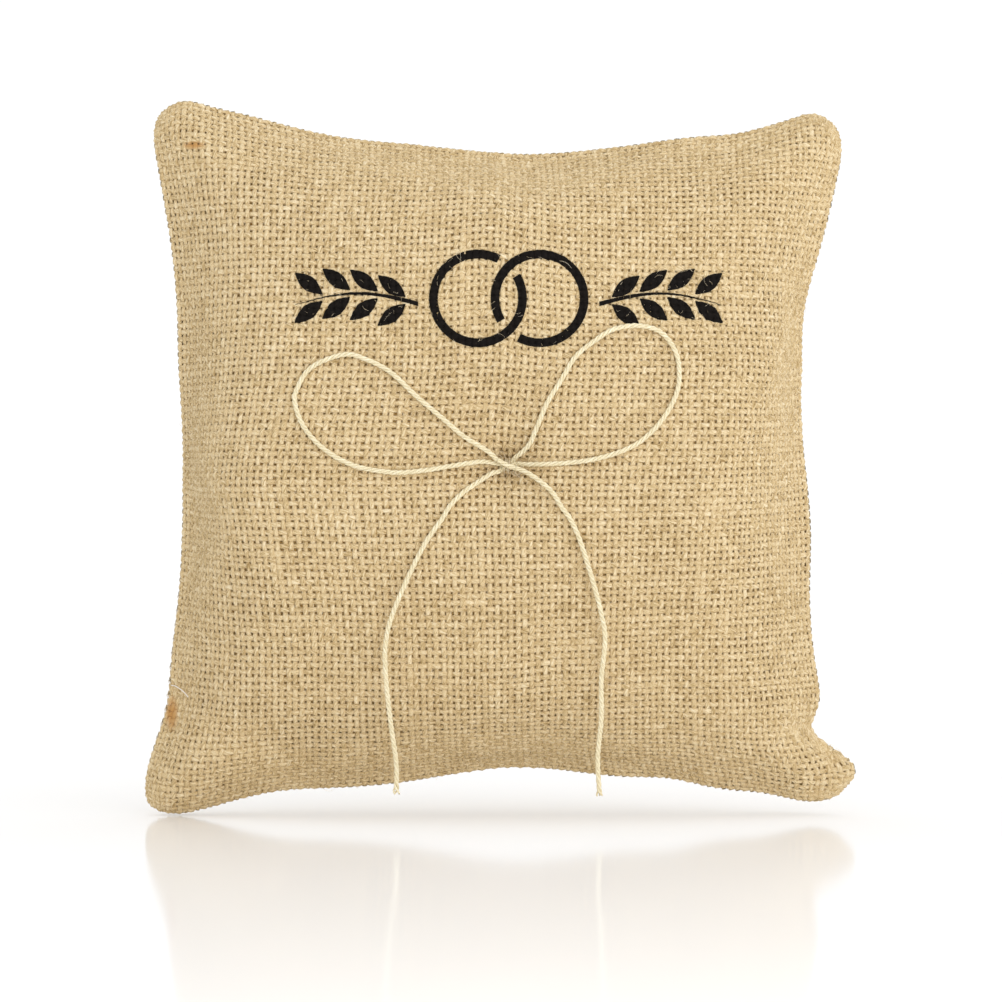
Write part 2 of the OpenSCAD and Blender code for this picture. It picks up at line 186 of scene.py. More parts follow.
class NodeBoard:
    """One material's nodes, laid down a call at a time."""

    def __init__(self, name: str) -> None:
        """Start the material with a plain shader and its output.

        Args:
            name: The material's name.
        """
        self.material = bpy.data.materials.new(name)
        self.material.use_nodes = True
        self.tree = self.material.node_tree
        self.tree.nodes.clear()
        self.shader = self.add("ShaderNodeBsdfPrincipled")
        output = self.add("ShaderNodeOutputMaterial")
        self.join(self.shader.outputs["BSDF"], output.inputs["Surface"])

    def add(
        self, kind: str, values: dict[str, object] | None = None, **settings: object
    ) -> bpy.types.Node:
        """Add a node.

        Args:
            kind: Blender's name of the node type.
            values: Values of the node's input sockets, by socket name.
            **settings: Values of the node's own properties.

        Returns:
            The new node.
        """
        node = self.tree.nodes.new(kind)
        for name, value in settings.items():
            setattr(node, name, value)
        for name, value in (values or {}).items():
            node.inputs[name].default_value = value
        return node

    def join(self, source: bpy.types.NodeSocket, target: bpy.types.NodeSocket) -> None:
        """Link one socket to another."""
        self.tree.links.new(source, target)

    def place(self) -> bpy.types.NodeSocket:
        """Give the socket of the place on the object."""
        return self.add("ShaderNodeTexCoord").outputs["Object"]

    def noise(
        self, place: bpy.types.NodeSocket, scale: float, detail: float, **more: float
    ) -> bpy.types.NodeSocket:
        """Add a noise.

        Args:
            place: Socket of the place where it is read.
            scale: Its fineness.
            detail: Number of its finer layers.
            **more: Values of its other input sockets, by name.

        Returns:
            The socket of its level.
        """
        node = self.add("ShaderNodeTexNoise", {"Scale": scale, "Detail": detail, **more})
        self.join(place, node.inputs["Vector"])
        return node.outputs["Fac"]

    def sums(self, kind: str, first: object, second: object) -> bpy.types.NodeSocket:
        """Join two values, or a value and a number, by a sum of the named kind.

        Args:
            kind: Blender's name of the operation.
            first: A socket or a number.
            second: A socket or a number.

        Returns:
            The socket that gives the result.
        """
        node = self.add("ShaderNodeMath", operation=kind)
        for slot_number, value in enumerate((first, second)):
            if isinstance(value, bpy.types.NodeSocket):
                self.join(value, node.inputs[slot_number])
            else:
                node.inputs[slot_number].default_value = value
        return node.outputs[0]

    def ramp(
        self, source: bpy.types.NodeSocket, stops: Sequence[tuple[float, Colour]]
    ) -> bpy.types.NodeSocket:
        """Colour a value by stops.

        Args:
            source: Socket of the value, from 0 to 1.
            stops: Place and colour of each stop, in rising order.

        Returns:
            The socket of the colour.
        """
        node = self.add("ShaderNodeValToRGB")
        elements = node.color_ramp.elements
        while len(elements) < len(stops):
            elements.new(0.5)
        for element, (place, colour) in zip(elements, stops):
            element.position = place
            element.color = colour
        self.join(source, node.inputs["Fac"])
        return node.outputs["Color"]

    def colour(self, source: bpy.types.NodeSocket) -> None:
        """Colour the surface by a socket."""
        self.join(source, self.shader.inputs["Base Color"])

    def bump(self, source: bpy.types.NodeSocket, strength: float, depth: float) -> None:
        """Raise the surface by a value.

        Args:
            source: Socket of the height.
            strength: Share of the effect, from 0 to 1.
            depth: Height that a value of 1 stands for.
        """
        node = self.add("ShaderNodeBump", {"Strength": strength, "Distance": depth})
        self.join(source, node.inputs["Height"])
        self.join(node.outputs["Normal"], self.shader.inputs["Normal"])

    def gloss(self, roughness: float, specular: float, sheen: float = 0.0) -> None:
        """Set the shader's constant gloss.

        Args:
            roughness: Roughness of the surface.
            specular: Level of the mirror part.
            sheen: Weight of the soft cloth sheen.
        """
        self.shader.inputs["Roughness"].default_value = roughness
        self.shader.inputs["Specular IOR Level"].default_value = specular
        self.shader.inputs["Sheen Weight"].default_value = sheen


@dataclass(frozen=True)
class CreaseShade:
    """A small patch of painted shade on the front, where a crease or fold lies."""

    middle: tuple[float, float]
    reach: tuple[float, float]

    def weight(self, board: NodeBoard, place: bpy.types.NodeSocket) -> bpy.types.NodeSocket:
        """Give the strength of the painted shade at each place.

        Args:
            board: The material's nodes.
            place: Socket of the place on the object.

        Returns:
            The socket of the strength, 1 in the middle and 0 outside.
        """
        parts = board.add("ShaderNodeSeparateXYZ")
        board.join(place, parts.inputs["Vector"])
        squares = []
        for output, middle, reach in zip("XZ", self.middle, self.reach):
            away = board.sums("DIVIDE", board.sums("SUBTRACT", parts.outputs[output], middle), reach)
            squares.append(board.sums("MULTIPLY", away, away))
        inside = board.sums("SUBTRACT", 1.0, board.sums("ADD", squares[0], squares[1]))
        on_front = board.sums("LESS_THAN", parts.outputs["Y"], 0.0)
        return board.sums("MULTIPLY", board.sums("MAXIMUM", inside, 0.0), on_front)


@dataclass(frozen=True)
class StrandFinish:
    """Spun fibre: fine streaks that follow the twist, and a tone of its own for each strand."""

    name: str
    dark: Colour
    middle: Colour
    light: Colour
    streaks_per_mm: float = 3.2
    streak_share: float = 1.6
    tone_share: float = 0.5
    patches_per_metre: float = 22.0
    patch_share: float = 0.09
    stops: tuple[float, float, float] = (0.12, 0.5, 0.88)
    relief: float = 0.12 * MM
    roughness: float = 0.88
    specular: float = 0.22
    sheen: float = 0.06
    # Painted shade: patches darkened where the front's creases and folds lie, and the colour they take.
    crease_shades: tuple[CreaseShade, ...] = ()
    crease_shade_colour: Colour = paint(186, 140, 82)

    def build(self) -> bpy.types.Material:
        """Make the material from the strands' own fibre and tone values, darkened by any painted crease
        shade.
        """
        board = NodeBoard(self.name)
        fibre = board.add("ShaderNodeAttribute", attribute_name="fibre").outputs["Vector"]
        tone = board.add("ShaderNodeAttribute", attribute_name="tone").outputs["Fac"]
        place = board.place()
        streak = board.noise(fibre, self.streaks_per_mm, 3.0, Roughness=0.65)
        patch = board.noise(place, self.patches_per_metre, 2.0, Roughness=0.5)
        level = 0.5
        parts = ((streak, self.streak_share), (tone, self.tone_share), (patch, self.patch_share))
        for source, share in parts:
            part = board.sums("MULTIPLY", board.sums("SUBTRACT", source, 0.5), share)
            level = board.sums("ADD", part, level)
        colour = board.ramp(level, list(zip(self.stops, (self.dark, self.middle, self.light))))
        # Painted shade: pull the colour towards the crease shade colour at each crease patch.
        for blotch in self.crease_shades:
            mix = board.add("ShaderNodeMixRGB", {"Color2": self.crease_shade_colour}, blend_type="MIX")
            board.join(blotch.weight(board, place), mix.inputs["Fac"])
            board.join(colour, mix.inputs["Color1"])
            colour = mix.outputs["Color"]
        board.colour(colour)
        board.bump(streak, 0.55, self.relief)
        board.gloss(self.roughness, self.specular, self.sheen)
        return board.material


@dataclass(frozen=True)
class ClothFinish:
    """Thin plain cotton, with a weave much finer than the burlap's."""

    name: str
    dark: Colour
    light: Colour
    threads_per_metre: float = 2600.0
    stains_per_metre: float = 60.0
    relief: float = 0.05 * MM

    def build(self) -> bpy.types.Material:
        """Make the material from crossed bands and a slow stain."""
        board = NodeBoard(self.name)
        place = board.place()
        bands = []
        for direction in ("X", "Z"):
            band = board.add(
                "ShaderNodeTexWave", {"Scale": self.threads_per_metre / TURN, "Distortion": 0.6},
                bands_direction=direction,
            )
            board.join(place, band.inputs["Vector"])
            bands.append(band.outputs["Fac"])
        weave = board.sums("MULTIPLY", bands[0], bands[1])
        blotch = board.noise(place, self.stains_per_metre, 3.0)
        level = board.sums("MULTIPLY", board.sums("ADD", weave, blotch), 0.5)
        board.colour(board.ramp(level, [(0.15, self.dark), (0.75, self.light)]))
        board.bump(weave, 0.4, self.relief)
        board.gloss(0.95, 0.15)
        return board.material


@dataclass(frozen=True)
class FibreFinish:
    """Loose polyester fibre: white, with tangled relief."""

    name: str
    shade: Colour
    white: Colour
    tangles_per_metre: float = 240.0
    relief: float = 0.6 * MM

    def build(self) -> bpy.types.Material:
        """Make the material from one tangled noise."""
        board = NodeBoard(self.name)
        tangle = board.noise(board.place(), self.tangles_per_metre, 6.0, Distortion=1.5)
        board.colour(board.ramp(tangle, [(0.3, self.shade), (0.7, self.white)]))
        board.bump(tangle, 0.6, self.relief)
        board.gloss(0.9, 0.2, 0.2)
        return board.material


@dataclass(frozen=True)
class InkFinish:
    """Screen-printed ink that has soaked into the yarns and dried matt."""

    name: str
    deep: Colour
    worn: Colour
    grains_per_metre: float = 1900.0
    relief: float = 0.06 * MM

    def build(self) -> bpy.types.Material:
        """Make the material from a fine noise of dried ink."""
        board = NodeBoard(self.name)
        grain = board.noise(board.place(), self.grains_per_metre, 4.0, Roughness=0.7)
        board.colour(board.ramp(grain, [(0.45, self.deep), (0.85, self.worn)]))
        board.bump(grain, 0.5, self.relief)
        board.gloss(0.8, 0.12)
        return board.material


@dataclass(frozen=True)
class FloorFinish:
    """Pale smooth table top."""

    name: str
    colour: Colour
    roughness: float
    specular: float

    def build(self) -> bpy.types.Material:
        """Make the plain even material."""
        board = NodeBoard(self.name)
        board.shader.inputs["Base Color"].default_value = self.colour
        board.gloss(self.roughness, self.specular)
        return board.material


class MeshSheaf:
    """Strands and patches gathered into one mesh."""

    def __init__(self) -> None:
        """Start with nothing gathered."""
        self.points: list[Array] = []
        self.fibre: list[Array] = []
        self.tone: list[Array] = []
        self.quads: list[Array] = []
        self.quad_uvs: list[Array] = []
        self.caps: list[Array] = []
        self.count = 0

    def _gather(self, points: Array, fibre: Array, tone: Array | float) -> int:
        """Keep points for the mesh.

        Args:
            points: The points.
            fibre: Their places in the finish's noise.
            tone: Their tones, one for each point or one for all.

        Returns:
            The first point's number.
        """
        first = self.count
        self.points.append(points)
        self.fibre.append(fibre)
        self.tone.append(np.broadcast_to(tone, (len(points),)))
        self.count += len(points)
        return first

    def _tile(self, first: int, corners: Sequence[tuple[Array, Array, Array]]) -> None:
        """Add quads with their places on the bake map.

        Args:
            first: Number of the first of their points.
            corners: For each of a quad's four corners, its point's number counted from the first one,
                and its place across and up the bake map.
        """
        quads = np.stack([number for number, _, _ in corners], axis=-1)
        shape = quads.shape[:2]
        places = [[np.broadcast_to(u, shape), np.broadcast_to(v, shape)] for _, u, v in corners]
        self.quads.append(quads.reshape(-1, 4) + first)
        self.quad_uvs.append(np.moveaxis(np.array(places), (0, 1), (2, 3)).reshape(-1, 2))

    def strand(
        self,
        line: Array,
        up: Array,
        half_width: Array | float,
        half_height: Array | float,
        sides: int = 6,
        cell: tuple[float, float] = (0.0, 1.0),
        tone: Array | float = 0.5,
        twist: float = 0.0,
        seed_place: float = 0.0,
    ) -> None:
        """Sweep an oval section along a line and close its ends.

        Args:
            line: Points of the centre line.
            up: Direction of the section's height, one for each point or one for all.
            half_width: Half of the section's width, across up.
            half_height: Half of the section's height, along up.
            sides: Number of corners of the section.
            cell: Share of the bake map's width that the strand takes.
            tone: Tone of the strand from 0 to 1, one for each point or one for all.
            twist: Turns of the fibres per metre.
            seed_place: Where the strand lies in its finish's noise.
        """
        rings = len(line)
        tangent = unit(np.gradient(line, axis=0))
        across = unit(np.cross(tangent, np.broadcast_to(up, line.shape)))
        lift = np.cross(across, tangent)
        angle = np.arange(sides) * TURN / sides
        wide = np.broadcast_to(half_width, (rings,))[:, None, None]
        high = np.broadcast_to(half_height, (rings,))[:, None, None]
        skin = (
            line[:, None, :]
            + np.cos(angle)[None, :, None] * wide * across[:, None, :]
            + np.sin(angle)[None, :, None] * high * lift[:, None, :]
        )
        along = arc_lengths(line)
        turned = angle[None, :] + twist * TURN * along[:, None]
        stretch = 0.12
        run = np.broadcast_to(along[:, None] * stretch, turned.shape)
        fibre = [run, np.cos(turned) * wide[:, :, 0], np.sin(turned) * high[:, :, 0]]
        fibre = np.stack(fibre, axis=-1) / MM
        fibre[..., 0] += seed_place
        tones = np.repeat(np.broadcast_to(tone, (rings,)), sides)
        first = self._gather(skin.reshape(-1, 3), fibre.reshape(-1, 3), tones)
        left, right = cell
        ring, side = np.arange(rings - 1)[:, None], np.arange(sides)[None, :]
        corners = [
            (
                (ring + step) * sides + (side + turn) % sides,
                left + (right - left) * ((side + turn) / sides),
                (ring + step) / (rings - 1),
            )
            for step, turn in ((0, 0), (1, 0), (1, 1), (0, 1))
        ]
        self._tile(first, corners)
        self.caps.append(first + np.arange(sides))
        self.caps.append(first + (rings - 1) * sides + np.arange(sides)[::-1])

    def patch(self, grid: Array, flip: bool = False) -> None:
        """Add a patch of a surface.

        Args:
            grid: Its points, in rows and columns.
            flip: Whether the patch faces the other way.
        """
        rows, columns = grid.shape[:2]
        first = self._gather(grid.reshape(-1, 3), grid.reshape(-1, 3) / MM, 0.5)
        row, column = np.arange(rows - 1)[:, None], np.arange(columns - 1)[None, :]
        corners = [
            (a * columns + b, b / (columns - 1), a / (rows - 1))
            for a, b in ((row, column), (row, column + 1), (row + 1, column + 1), (row + 1, column))
        ]
        self._tile(first, corners[::-1] if flip else corners)

    def slab(self, top: Array, bottom: Array, flip: bool = False) -> None:
        """Add a closed thin slab between two patches of the same shape.

        Args:
            top: Points of the side that is seen, in rows and columns.
            bottom: Points of the hidden side.
            flip: Whether the rows and columns turn the other way round.
        """
        self.patch(top, flip)
        self.patch(bottom, not flip)
        rims = [(top[0], bottom[0]), (bottom[-1], top[-1])]
        rims += [(bottom[:, 0], top[:, 0]), (top[:, -1], bottom[:, -1])]
        for one, other in rims:
            self.patch(np.stack([other, one]), flip)

    def build(self, name: str, finish: bpy.types.Material, merge: bool = False) -> bpy.types.Object:
        """Make the mesh object.

        Args:
            name: Name of the piece.
            finish: Its material.
            merge: Whether points at the same place are made one.

        Returns:
            The new object, linked to the scene.
        """
        quads = np.vstack(self.quads).astype(np.int32)
        loops = np.concatenate([quads.reshape(-1), *self.caps]).astype(np.int32)
        sizes = [4] * len(quads) + [len(cap) for cap in self.caps]
        starts = np.concatenate([[0], np.cumsum(sizes)[:-1]]).astype(np.int32)
        mesh = bpy.data.meshes.new(name)
        mesh.vertices.add(self.count)
        mesh.vertices.foreach_set("co", np.vstack(self.points).astype(np.float32).reshape(-1))
        mesh.loops.add(len(loops))
        mesh.loops.foreach_set("vertex_index", loops)
        mesh.polygons.add(len(starts))
        mesh.polygons.foreach_set("loop_start", starts)
        mesh.update(calc_edges=True)
        flat = np.zeros((len(loops), 2), np.float32)
        uvs = np.vstack(self.quad_uvs)
        flat[: len(uvs)] = uvs
        mesh.uv_layers.new(name="OFBake").data.foreach_set("uv", flat.reshape(-1))
        fibre = mesh.attributes.new("fibre", "FLOAT_VECTOR", "POINT")
        fibre.data.foreach_set("vector", np.vstack(self.fibre).astype(np.float32).reshape(-1))
        tone = mesh.attributes.new("tone", "FLOAT", "POINT")
        tone.data.foreach_set("value", np.concatenate(self.tone).astype(np.float32))
        mesh.polygons.foreach_set("use_smooth", np.ones(len(mesh.polygons), bool))
        mesh.materials.append(finish)
        mesh.validate()
        made = bpy.data.objects.new(name, mesh)
        bpy.context.scene.collection.objects.link(made)
        if merge:
            self._merge(mesh)
        return made

    @staticmethod
    def _merge(mesh: bpy.types.Mesh) -> None:
        """Make one point of the points that lie at the same place.

        Args:
            mesh: The mesh to mend.
        """
        shape = bmesh.new()
        shape.from_mesh(mesh)
        bmesh.ops.remove_doubles(shape, verts=shape.verts, dist=0.001 * MM)
        shape.to_mesh(mesh)
        shape.free()


def settle(piece: bpy.types.Object, material_slot: str, *nodes: str) -> bpy.types.Object:
    """Let a piece ride on the pillow and stand for its frame nodes.

    Args:
        piece: The finished piece.
        material_slot: The record's name of its material.
        *nodes: The frame nodes that it stands for.

    Returns:
        The same piece.
    """
    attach(piece, BODY)
    if nodes:
        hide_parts(*nodes)
    LOG.info("%s: %d faces, slot %s", piece.name, len(piece.data.polygons), material_slot)
    return piece


@dataclass(frozen=True)
class EdgeBow:
    """How the filling pulls one side of the square in between its ears."""

    pull: float
    deepest: float
    before: float
    after: float

    def depth(self, t: Array) -> Array:
        """Give how far the side lies inside the line between its ears.

        Args:
            t: Places along the side, from -1 at one ear to 1 at the other.

        Returns:
            The distance inwards at each place.
        """
        early = t < self.deepest
        away = np.abs(t - self.deepest)
        share = np.where(early, away / (1 + self.deepest), away / (1 - self.deepest))
        return self.pull * (1 - np.clip(share, 0, 1) ** np.where(early, self.before, self.after))


@dataclass(frozen=True)
class Pucker:
    """A stretch of one side that lies further in or out than its even bow."""

    side: Side
    place: float
    inwards: float
    spread: float
    fade: float = 7.0

    def push(self, u: Array, v: Array) -> Array:
        """Give how far the pucker moves the face.

        Args:
            u: Places across, from -1 to 1.
            v: Places up, from -1 to 1.

        Returns:
            The moves across and up at each place.
        """
        out_x, out_z = self.side.value
        along = v if out_x else u
        near = np.clip(out_x * u + out_z * v, 0, 1) ** self.fade
        size = -self.inwards * near * np.exp(-(((along - self.place) / self.spread) ** 2))
        return np.stack([out_x * size, out_z * size], axis=-1)


@dataclass(frozen=True)
class Crease:
    """A soft valley or ridge in the front, where the filling lies unevenly."""

    start: tuple[float, float]
    end: tuple[float, float]
    depth: float
    width: float

    def sink(self, x: Array, z: Array) -> Array:
        """Give how far the crease sinks the face.

        Args:
            x: Places across.
            z: Places up.

        Returns:
            The depth at each place.
        """
        run = np.array(self.end) - np.array(self.start)
        gap_x, gap_z = x - self.start[0], z - self.start[1]
        share = np.clip((gap_x * run[0] + gap_z * run[1]) / float(run @ run), 0, 1)
        away = (gap_x - share * run[0]) ** 2 + (gap_z - share * run[1]) ** 2
        return self.depth * np.exp(-away / self.width**2)


class CrownedSheet:
    """One face of the stuffed form, smooth between the points of its grid."""

    def __init__(self, grid: Array, face: Face) -> None:
        """Keep the grid, and a border round it that carries its slope on.

        Args:
            grid: The face's points, in rows from the bottom and columns from the left.
            face: Which face it is.
        """
        self.cells = grid.shape[0] - 1
        self.face = face
        self.held = np.pad(grid, ((2, 2), (2, 2), (0, 0)), mode="reflect", reflect_type="odd")

    def at(self, u: Array, v: Array) -> tuple[Array, Array]:
        """Find points of the face.

        Args:
            u: Places across, from -1 at the left side to 1 at the right side.
            v: Places up, from -1 at the bottom to 1 at the top.

        Returns:
            The points, and the directions straight out of the face there.
        """
        fu = np.clip((np.asarray(u, float) + 1) / 2, -0.01, 1.01) * self.cells
        fv = np.clip((np.asarray(v, float) + 1) / 2, -0.01, 1.01) * self.cells
        iu = np.clip(np.floor(fu).astype(int), -1, self.cells)
        iv = np.clip(np.floor(fv).astype(int), -1, self.cells)
        wu, du = curve_weights(fu - iu)
        wv, dv = curve_weights(fv - iv)
        point = np.zeros((*np.shape(fu), 3))
        along_u = np.zeros_like(point)
        along_v = np.zeros_like(point)
        for row in range(4):
            for column in range(4):
                knot = self.held[iv + row + 1, iu + column + 1]
                point += (wv[..., row] * wu[..., column])[..., None] * knot
                along_u += (wv[..., row] * du[..., column])[..., None] * knot
                along_v += (dv[..., row] * wu[..., column])[..., None] * knot
        return point, -self.face.value * unit(np.cross(along_u, along_v))

    def at_height(self, u: Array, v: Array, height: Array | float) -> Array:
        """Find points that stand off the face by a height."""
        point, out = self.at(u, v)
        return point + out * np.broadcast_to(height, point.shape[:-1])[..., None]

    def under(self, x: Array, z: Array, height: Array | float) -> tuple[Array, Array]:
        """Find where on the face a point that stands off it has the wanted x and z.

        Args:
            x: Wanted places across.
            z: Wanted places up.
            height: How far the points stand off the face.

        Returns:
            The places u and v on the face.
        """
        reach, middle, step, end, rounds = 0.092, 0.0995, 0.004, 0.995, 9
        u = np.clip(np.asarray(x, float) / reach, -end, end)
        v = np.clip((np.asarray(z, float) - middle) / reach, -end, end)
        for _ in range(rounds):
            here = self.at_height(u, v, height)
            on_u = (self.at_height(u + step, v, height) - here) / step
            on_v = (self.at_height(u, v + step, height) - here) / step
            gap_x, gap_z = x - here[..., 0], z - here[..., 2]
            spread = on_u[..., 0] * on_v[..., 2] - on_u[..., 2] * on_v[..., 0]
            u = np.clip(u + (gap_x * on_v[..., 2] - gap_z * on_v[..., 0]) / spread, -end, end)
            v = np.clip(v + (gap_z * on_u[..., 0] - gap_x * on_u[..., 2]) / spread, -end, end)
        return u, v

    def over(self, x: Array, z: Array, height: Array | float) -> Array:
        """Find the points at x and z that stand off the face by a height."""
        return self.at_height(*self.under(np.asarray(x, float), np.asarray(z, float), height), height)


@dataclass
class StuffedForm:
    """The plump shape that the filling gives the sewn square: the outside of the lining."""

    cells: int = 48
    frames: int = 50
    creases: float = 0.22
    rise: float = 34.5 * MM
    flat_side: float = 210.5 * MM
    flat_middle: float = 99.5 * MM
    mean_presses: int = 3
    own_presses: int = 5
    top_left: tuple[float, float] = (-105.6 * MM, 208.2 * MM)
    top_right: tuple[float, float] = (104.8 * MM, 204.8 * MM)
    low_left: tuple[float, float] = (-109.0 * MM, -6.3 * MM)
    low_right: tuple[float, float] = (107.0 * MM, -2.6 * MM)
    left: EdgeBow = EdgeBow(18.8 * MM, -0.1, 2.5, 2.7)
    right: EdgeBow = EdgeBow(20.6 * MM, 0.15, 3.6, 1.6)
    top: EdgeBow = EdgeBow(19.6 * MM, 0.07, 1.55, 1.6)
    bottom: EdgeBow = EdgeBow(16.6 * MM, 0.1, 1.7, 1.7)
    ear_round: float = 0.072
    ear_power: float = 6.0
    tip_round: float = 0.024
    tip_start: float = 0.85
    tip_power: float = 1.2
    rim_fade: float = 3.0
    dimple_depth: float = 3.5 * MM
    dimple_radius: float = 14 * MM
    tuck_depth: float = 3.6 * MM
    tuck_radius: float = 7 * MM
    puckers: tuple[Pucker, ...] = (
        Pucker(Side.TOP, -0.48, 1.9 * MM, 0.2),
        Pucker(Side.TOP, 0.68, 1.8 * MM, 0.12),
        Pucker(Side.TOP, -0.88, -1.2 * MM, 0.07),
        Pucker(Side.TOP, 0.9, -1.2 * MM, 0.06),
        Pucker(Side.BOTTOM, -0.6, 3.4 * MM, 0.2),
        Pucker(Side.BOTTOM, 0.03, 2.2 * MM, 0.22),
        Pucker(Side.BOTTOM, 0.48, 1.6 * MM, 0.1),
        Pucker(Side.BOTTOM, 0.72, 1.2 * MM, 0.1),
        Pucker(Side.LEFT, 0.28, -1.1 * MM, 0.14),
        Pucker(Side.LEFT, -0.68, 1.2 * MM, 0.1),
        Pucker(Side.RIGHT, 0.44, 1.8 * MM, 0.14),
        Pucker(Side.RIGHT, -0.2, -2.3 * MM, 0.2),
        Pucker(Side.RIGHT, -0.76, 5.4 * MM, 0.06),
        Pucker(Side.RIGHT, -0.89, -4.8 * MM, 0.06),
    )
    creases_in_front: tuple[Crease, ...] = (
        Crease((-94 * MM, 35 * MM), (-56 * MM, 19 * MM), 2.6 * MM, 8 * MM),
        Crease((-42 * MM, 21 * MM), (24 * MM, 26 * MM), 1.5 * MM, 6 * MM),
        Crease((93 * MM, 25 * MM), (91 * MM, 6 * MM), 5.0 * MM, 3 * MM),
        Crease((-92 * MM, 184 * MM), (-70 * MM, 181 * MM), 1.6 * MM, 6 * MM),
        Crease((8 * MM, 97 * MM), (46 * MM, 98 * MM), 1.2 * MM, 9 * MM),
        Crease((-6 * MM, 97 * MM), (-40 * MM, 93 * MM), 0.9 * MM, 8 * MM),
        Crease((84 * MM, 176 * MM), (52 * MM, 184 * MM), 1.4 * MM, 8 * MM),
        Crease((-60 * MM, 60 * MM), (-84 * MM, 110 * MM), -1.3 * MM, 12 * MM),
        Crease((62 * MM, 40 * MM), (70 * MM, 120 * MM), -1.6 * MM, 14 * MM),
    )
    sheets: dict[Face, CrownedSheet] = field(default_factory=dict)

    def build(self) -> None:
        """Blow the flat square up, fit it between its ears, and keep both faces."""
        blown = self._blown_up()
        self.sheets = {face: CrownedSheet(self._fitted(grid, face), face) for face, grid in blown.items()}

    def _shares(self) -> tuple[Array, Array]:
        """Give the places -1 to 1 of the grid's columns and rows."""
        line = np.linspace(-1, 1, self.cells + 1)
        return np.meshgrid(line, line)

    def _blown_up(self) -> dict[Face, Array]:
        """Blow up a flat sewn square of cloth under even pressure.

        Returns:
            Each face's grid of points, as shares of the flat square's side.
        """
        side, bulge = 2.0, 0.02
        u, v = self._shares()
        rim = (np.abs(u) == 1) | (np.abs(v) == 1)
        y = bulge * side * np.sqrt((1 - u**2) * (1 - v**2))
        front = np.stack([u * side / 2, -y, v * side / 2], axis=-1).reshape(-1, 3)
        back = np.stack([u * side / 2, y, v * side / 2], axis=-1).reshape(-1, 3)
        own = ~rim.reshape(-1)
        front_ids = np.arange(len(front)).reshape(u.shape)
        back_ids = front_ids.copy().reshape(-1)
        back_ids[own] = len(front) + np.arange(int(own.sum()))
        back_ids = back_ids.reshape(u.shape)
        faces = []
        for ids, order in ((front_ids, 1), (back_ids, -1)):
            a, b, c, d = ids[:-1, :-1], ids[:-1, 1:], ids[1:, 1:], ids[1:, :-1]
            faces += np.stack([a, b, c, d][::order], axis=-1).reshape(-1, 4).tolist()
        mesh = bpy.data.meshes.new("flat_square")
        mesh.from_pydata(np.vstack([front, back[own]]).tolist(), [], faces)
        mesh.update()
        square = bpy.data.objects.new("flat_square", mesh)
        bpy.context.scene.collection.objects.link(square)
        self._set_cloth(square)
        for number in range(1, self.frames + 1):
            bpy.context.scene.frame_set(number)
        shape = square.evaluated_get(bpy.context.evaluated_depsgraph_get()).to_mesh()
        spots = np.empty(len(shape.vertices) * 3, np.float32)
        shape.vertices.foreach_get("co", spots)
        spots = spots.reshape(-1, 3).astype(float) / side
        bpy.data.objects.remove(square)
        bpy.data.meshes.remove(mesh)
        bpy.context.scene.frame_set(1)
        return self._evened({Face.FRONT: spots[front_ids], Face.BACK: spots[back_ids]})

    def _evened(self, spots: dict[Face, Array]) -> dict[Face, Array]:
        """Smooth the creases that loose fibre would press out of the thick cloth.

        Args:
            spots: Each face's blown-up grid.

        Returns:
            The grids, mostly the mean of all the ways that the square can be turned and mirrored.
        """
        seen = []
        for face, grid in spots.items():
            plump = grid * np.array([1.0, face.value, 1.0])
            for shape in (plump, plump.transpose(1, 0, 2)[..., [2, 1, 0]]):
                for across in (1, -1):
                    for up in (1, -1):
                        seen.append(shape[::up, ::across] * np.array([across, 1.0, up]))
        mean = self._pressed(np.mean(seen, axis=0), self.mean_presses)
        return {
            face: (1 - self.creases) * mean * np.array([1.0, face.value, 1.0])
            + self.creases * self._pressed(grid, self.own_presses)
            for face, grid in spots.items()
        }

    @staticmethod
    def _pressed(grid: Array, times: int) -> Array:
        """Smooth a face by moving its inner points halfway to the mean of their neighbours.

        Args:
            grid: The face's points.
            times: How many times they move.

        Returns:
            The smoothed points.
        """
        soft = grid.copy()
        for _ in range(times):
            near = (soft[2:, 1:-1] + soft[:-2, 1:-1] + soft[1:-1, 2:] + soft[1:-1, :-2]) / 4
            soft[1:-1, 1:-1] = (soft[1:-1, 1:-1] + near) / 2
        return soft

    def _set_cloth(self, square: bpy.types.Object) -> None:
        """Give the flat square the stiffness of lined burlap and the push of the filling.

        Args:
            square: The flat square.
        """
        cloth = square.modifiers.new("filling_push", "CLOTH")
        ways = cloth.settings
        ways.quality, ways.mass, ways.air_damping = 6, 0.3, 10.0
        ways.tension_stiffness, ways.compression_stiffness = 80.0, 40.0
        ways.shear_stiffness, ways.bending_stiffness = 20.0, 5.0
        ways.tension_damping = ways.compression_damping = ways.shear_damping = 15.0
        ways.bending_damping = 3.0
        ways.use_pressure, ways.uniform_pressure_force = True, 1.5
        ways.effector_weights.gravity = 0.0
        cloth.collision_settings.use_collision = False
        cloth.point_cache.frame_end = self.frames

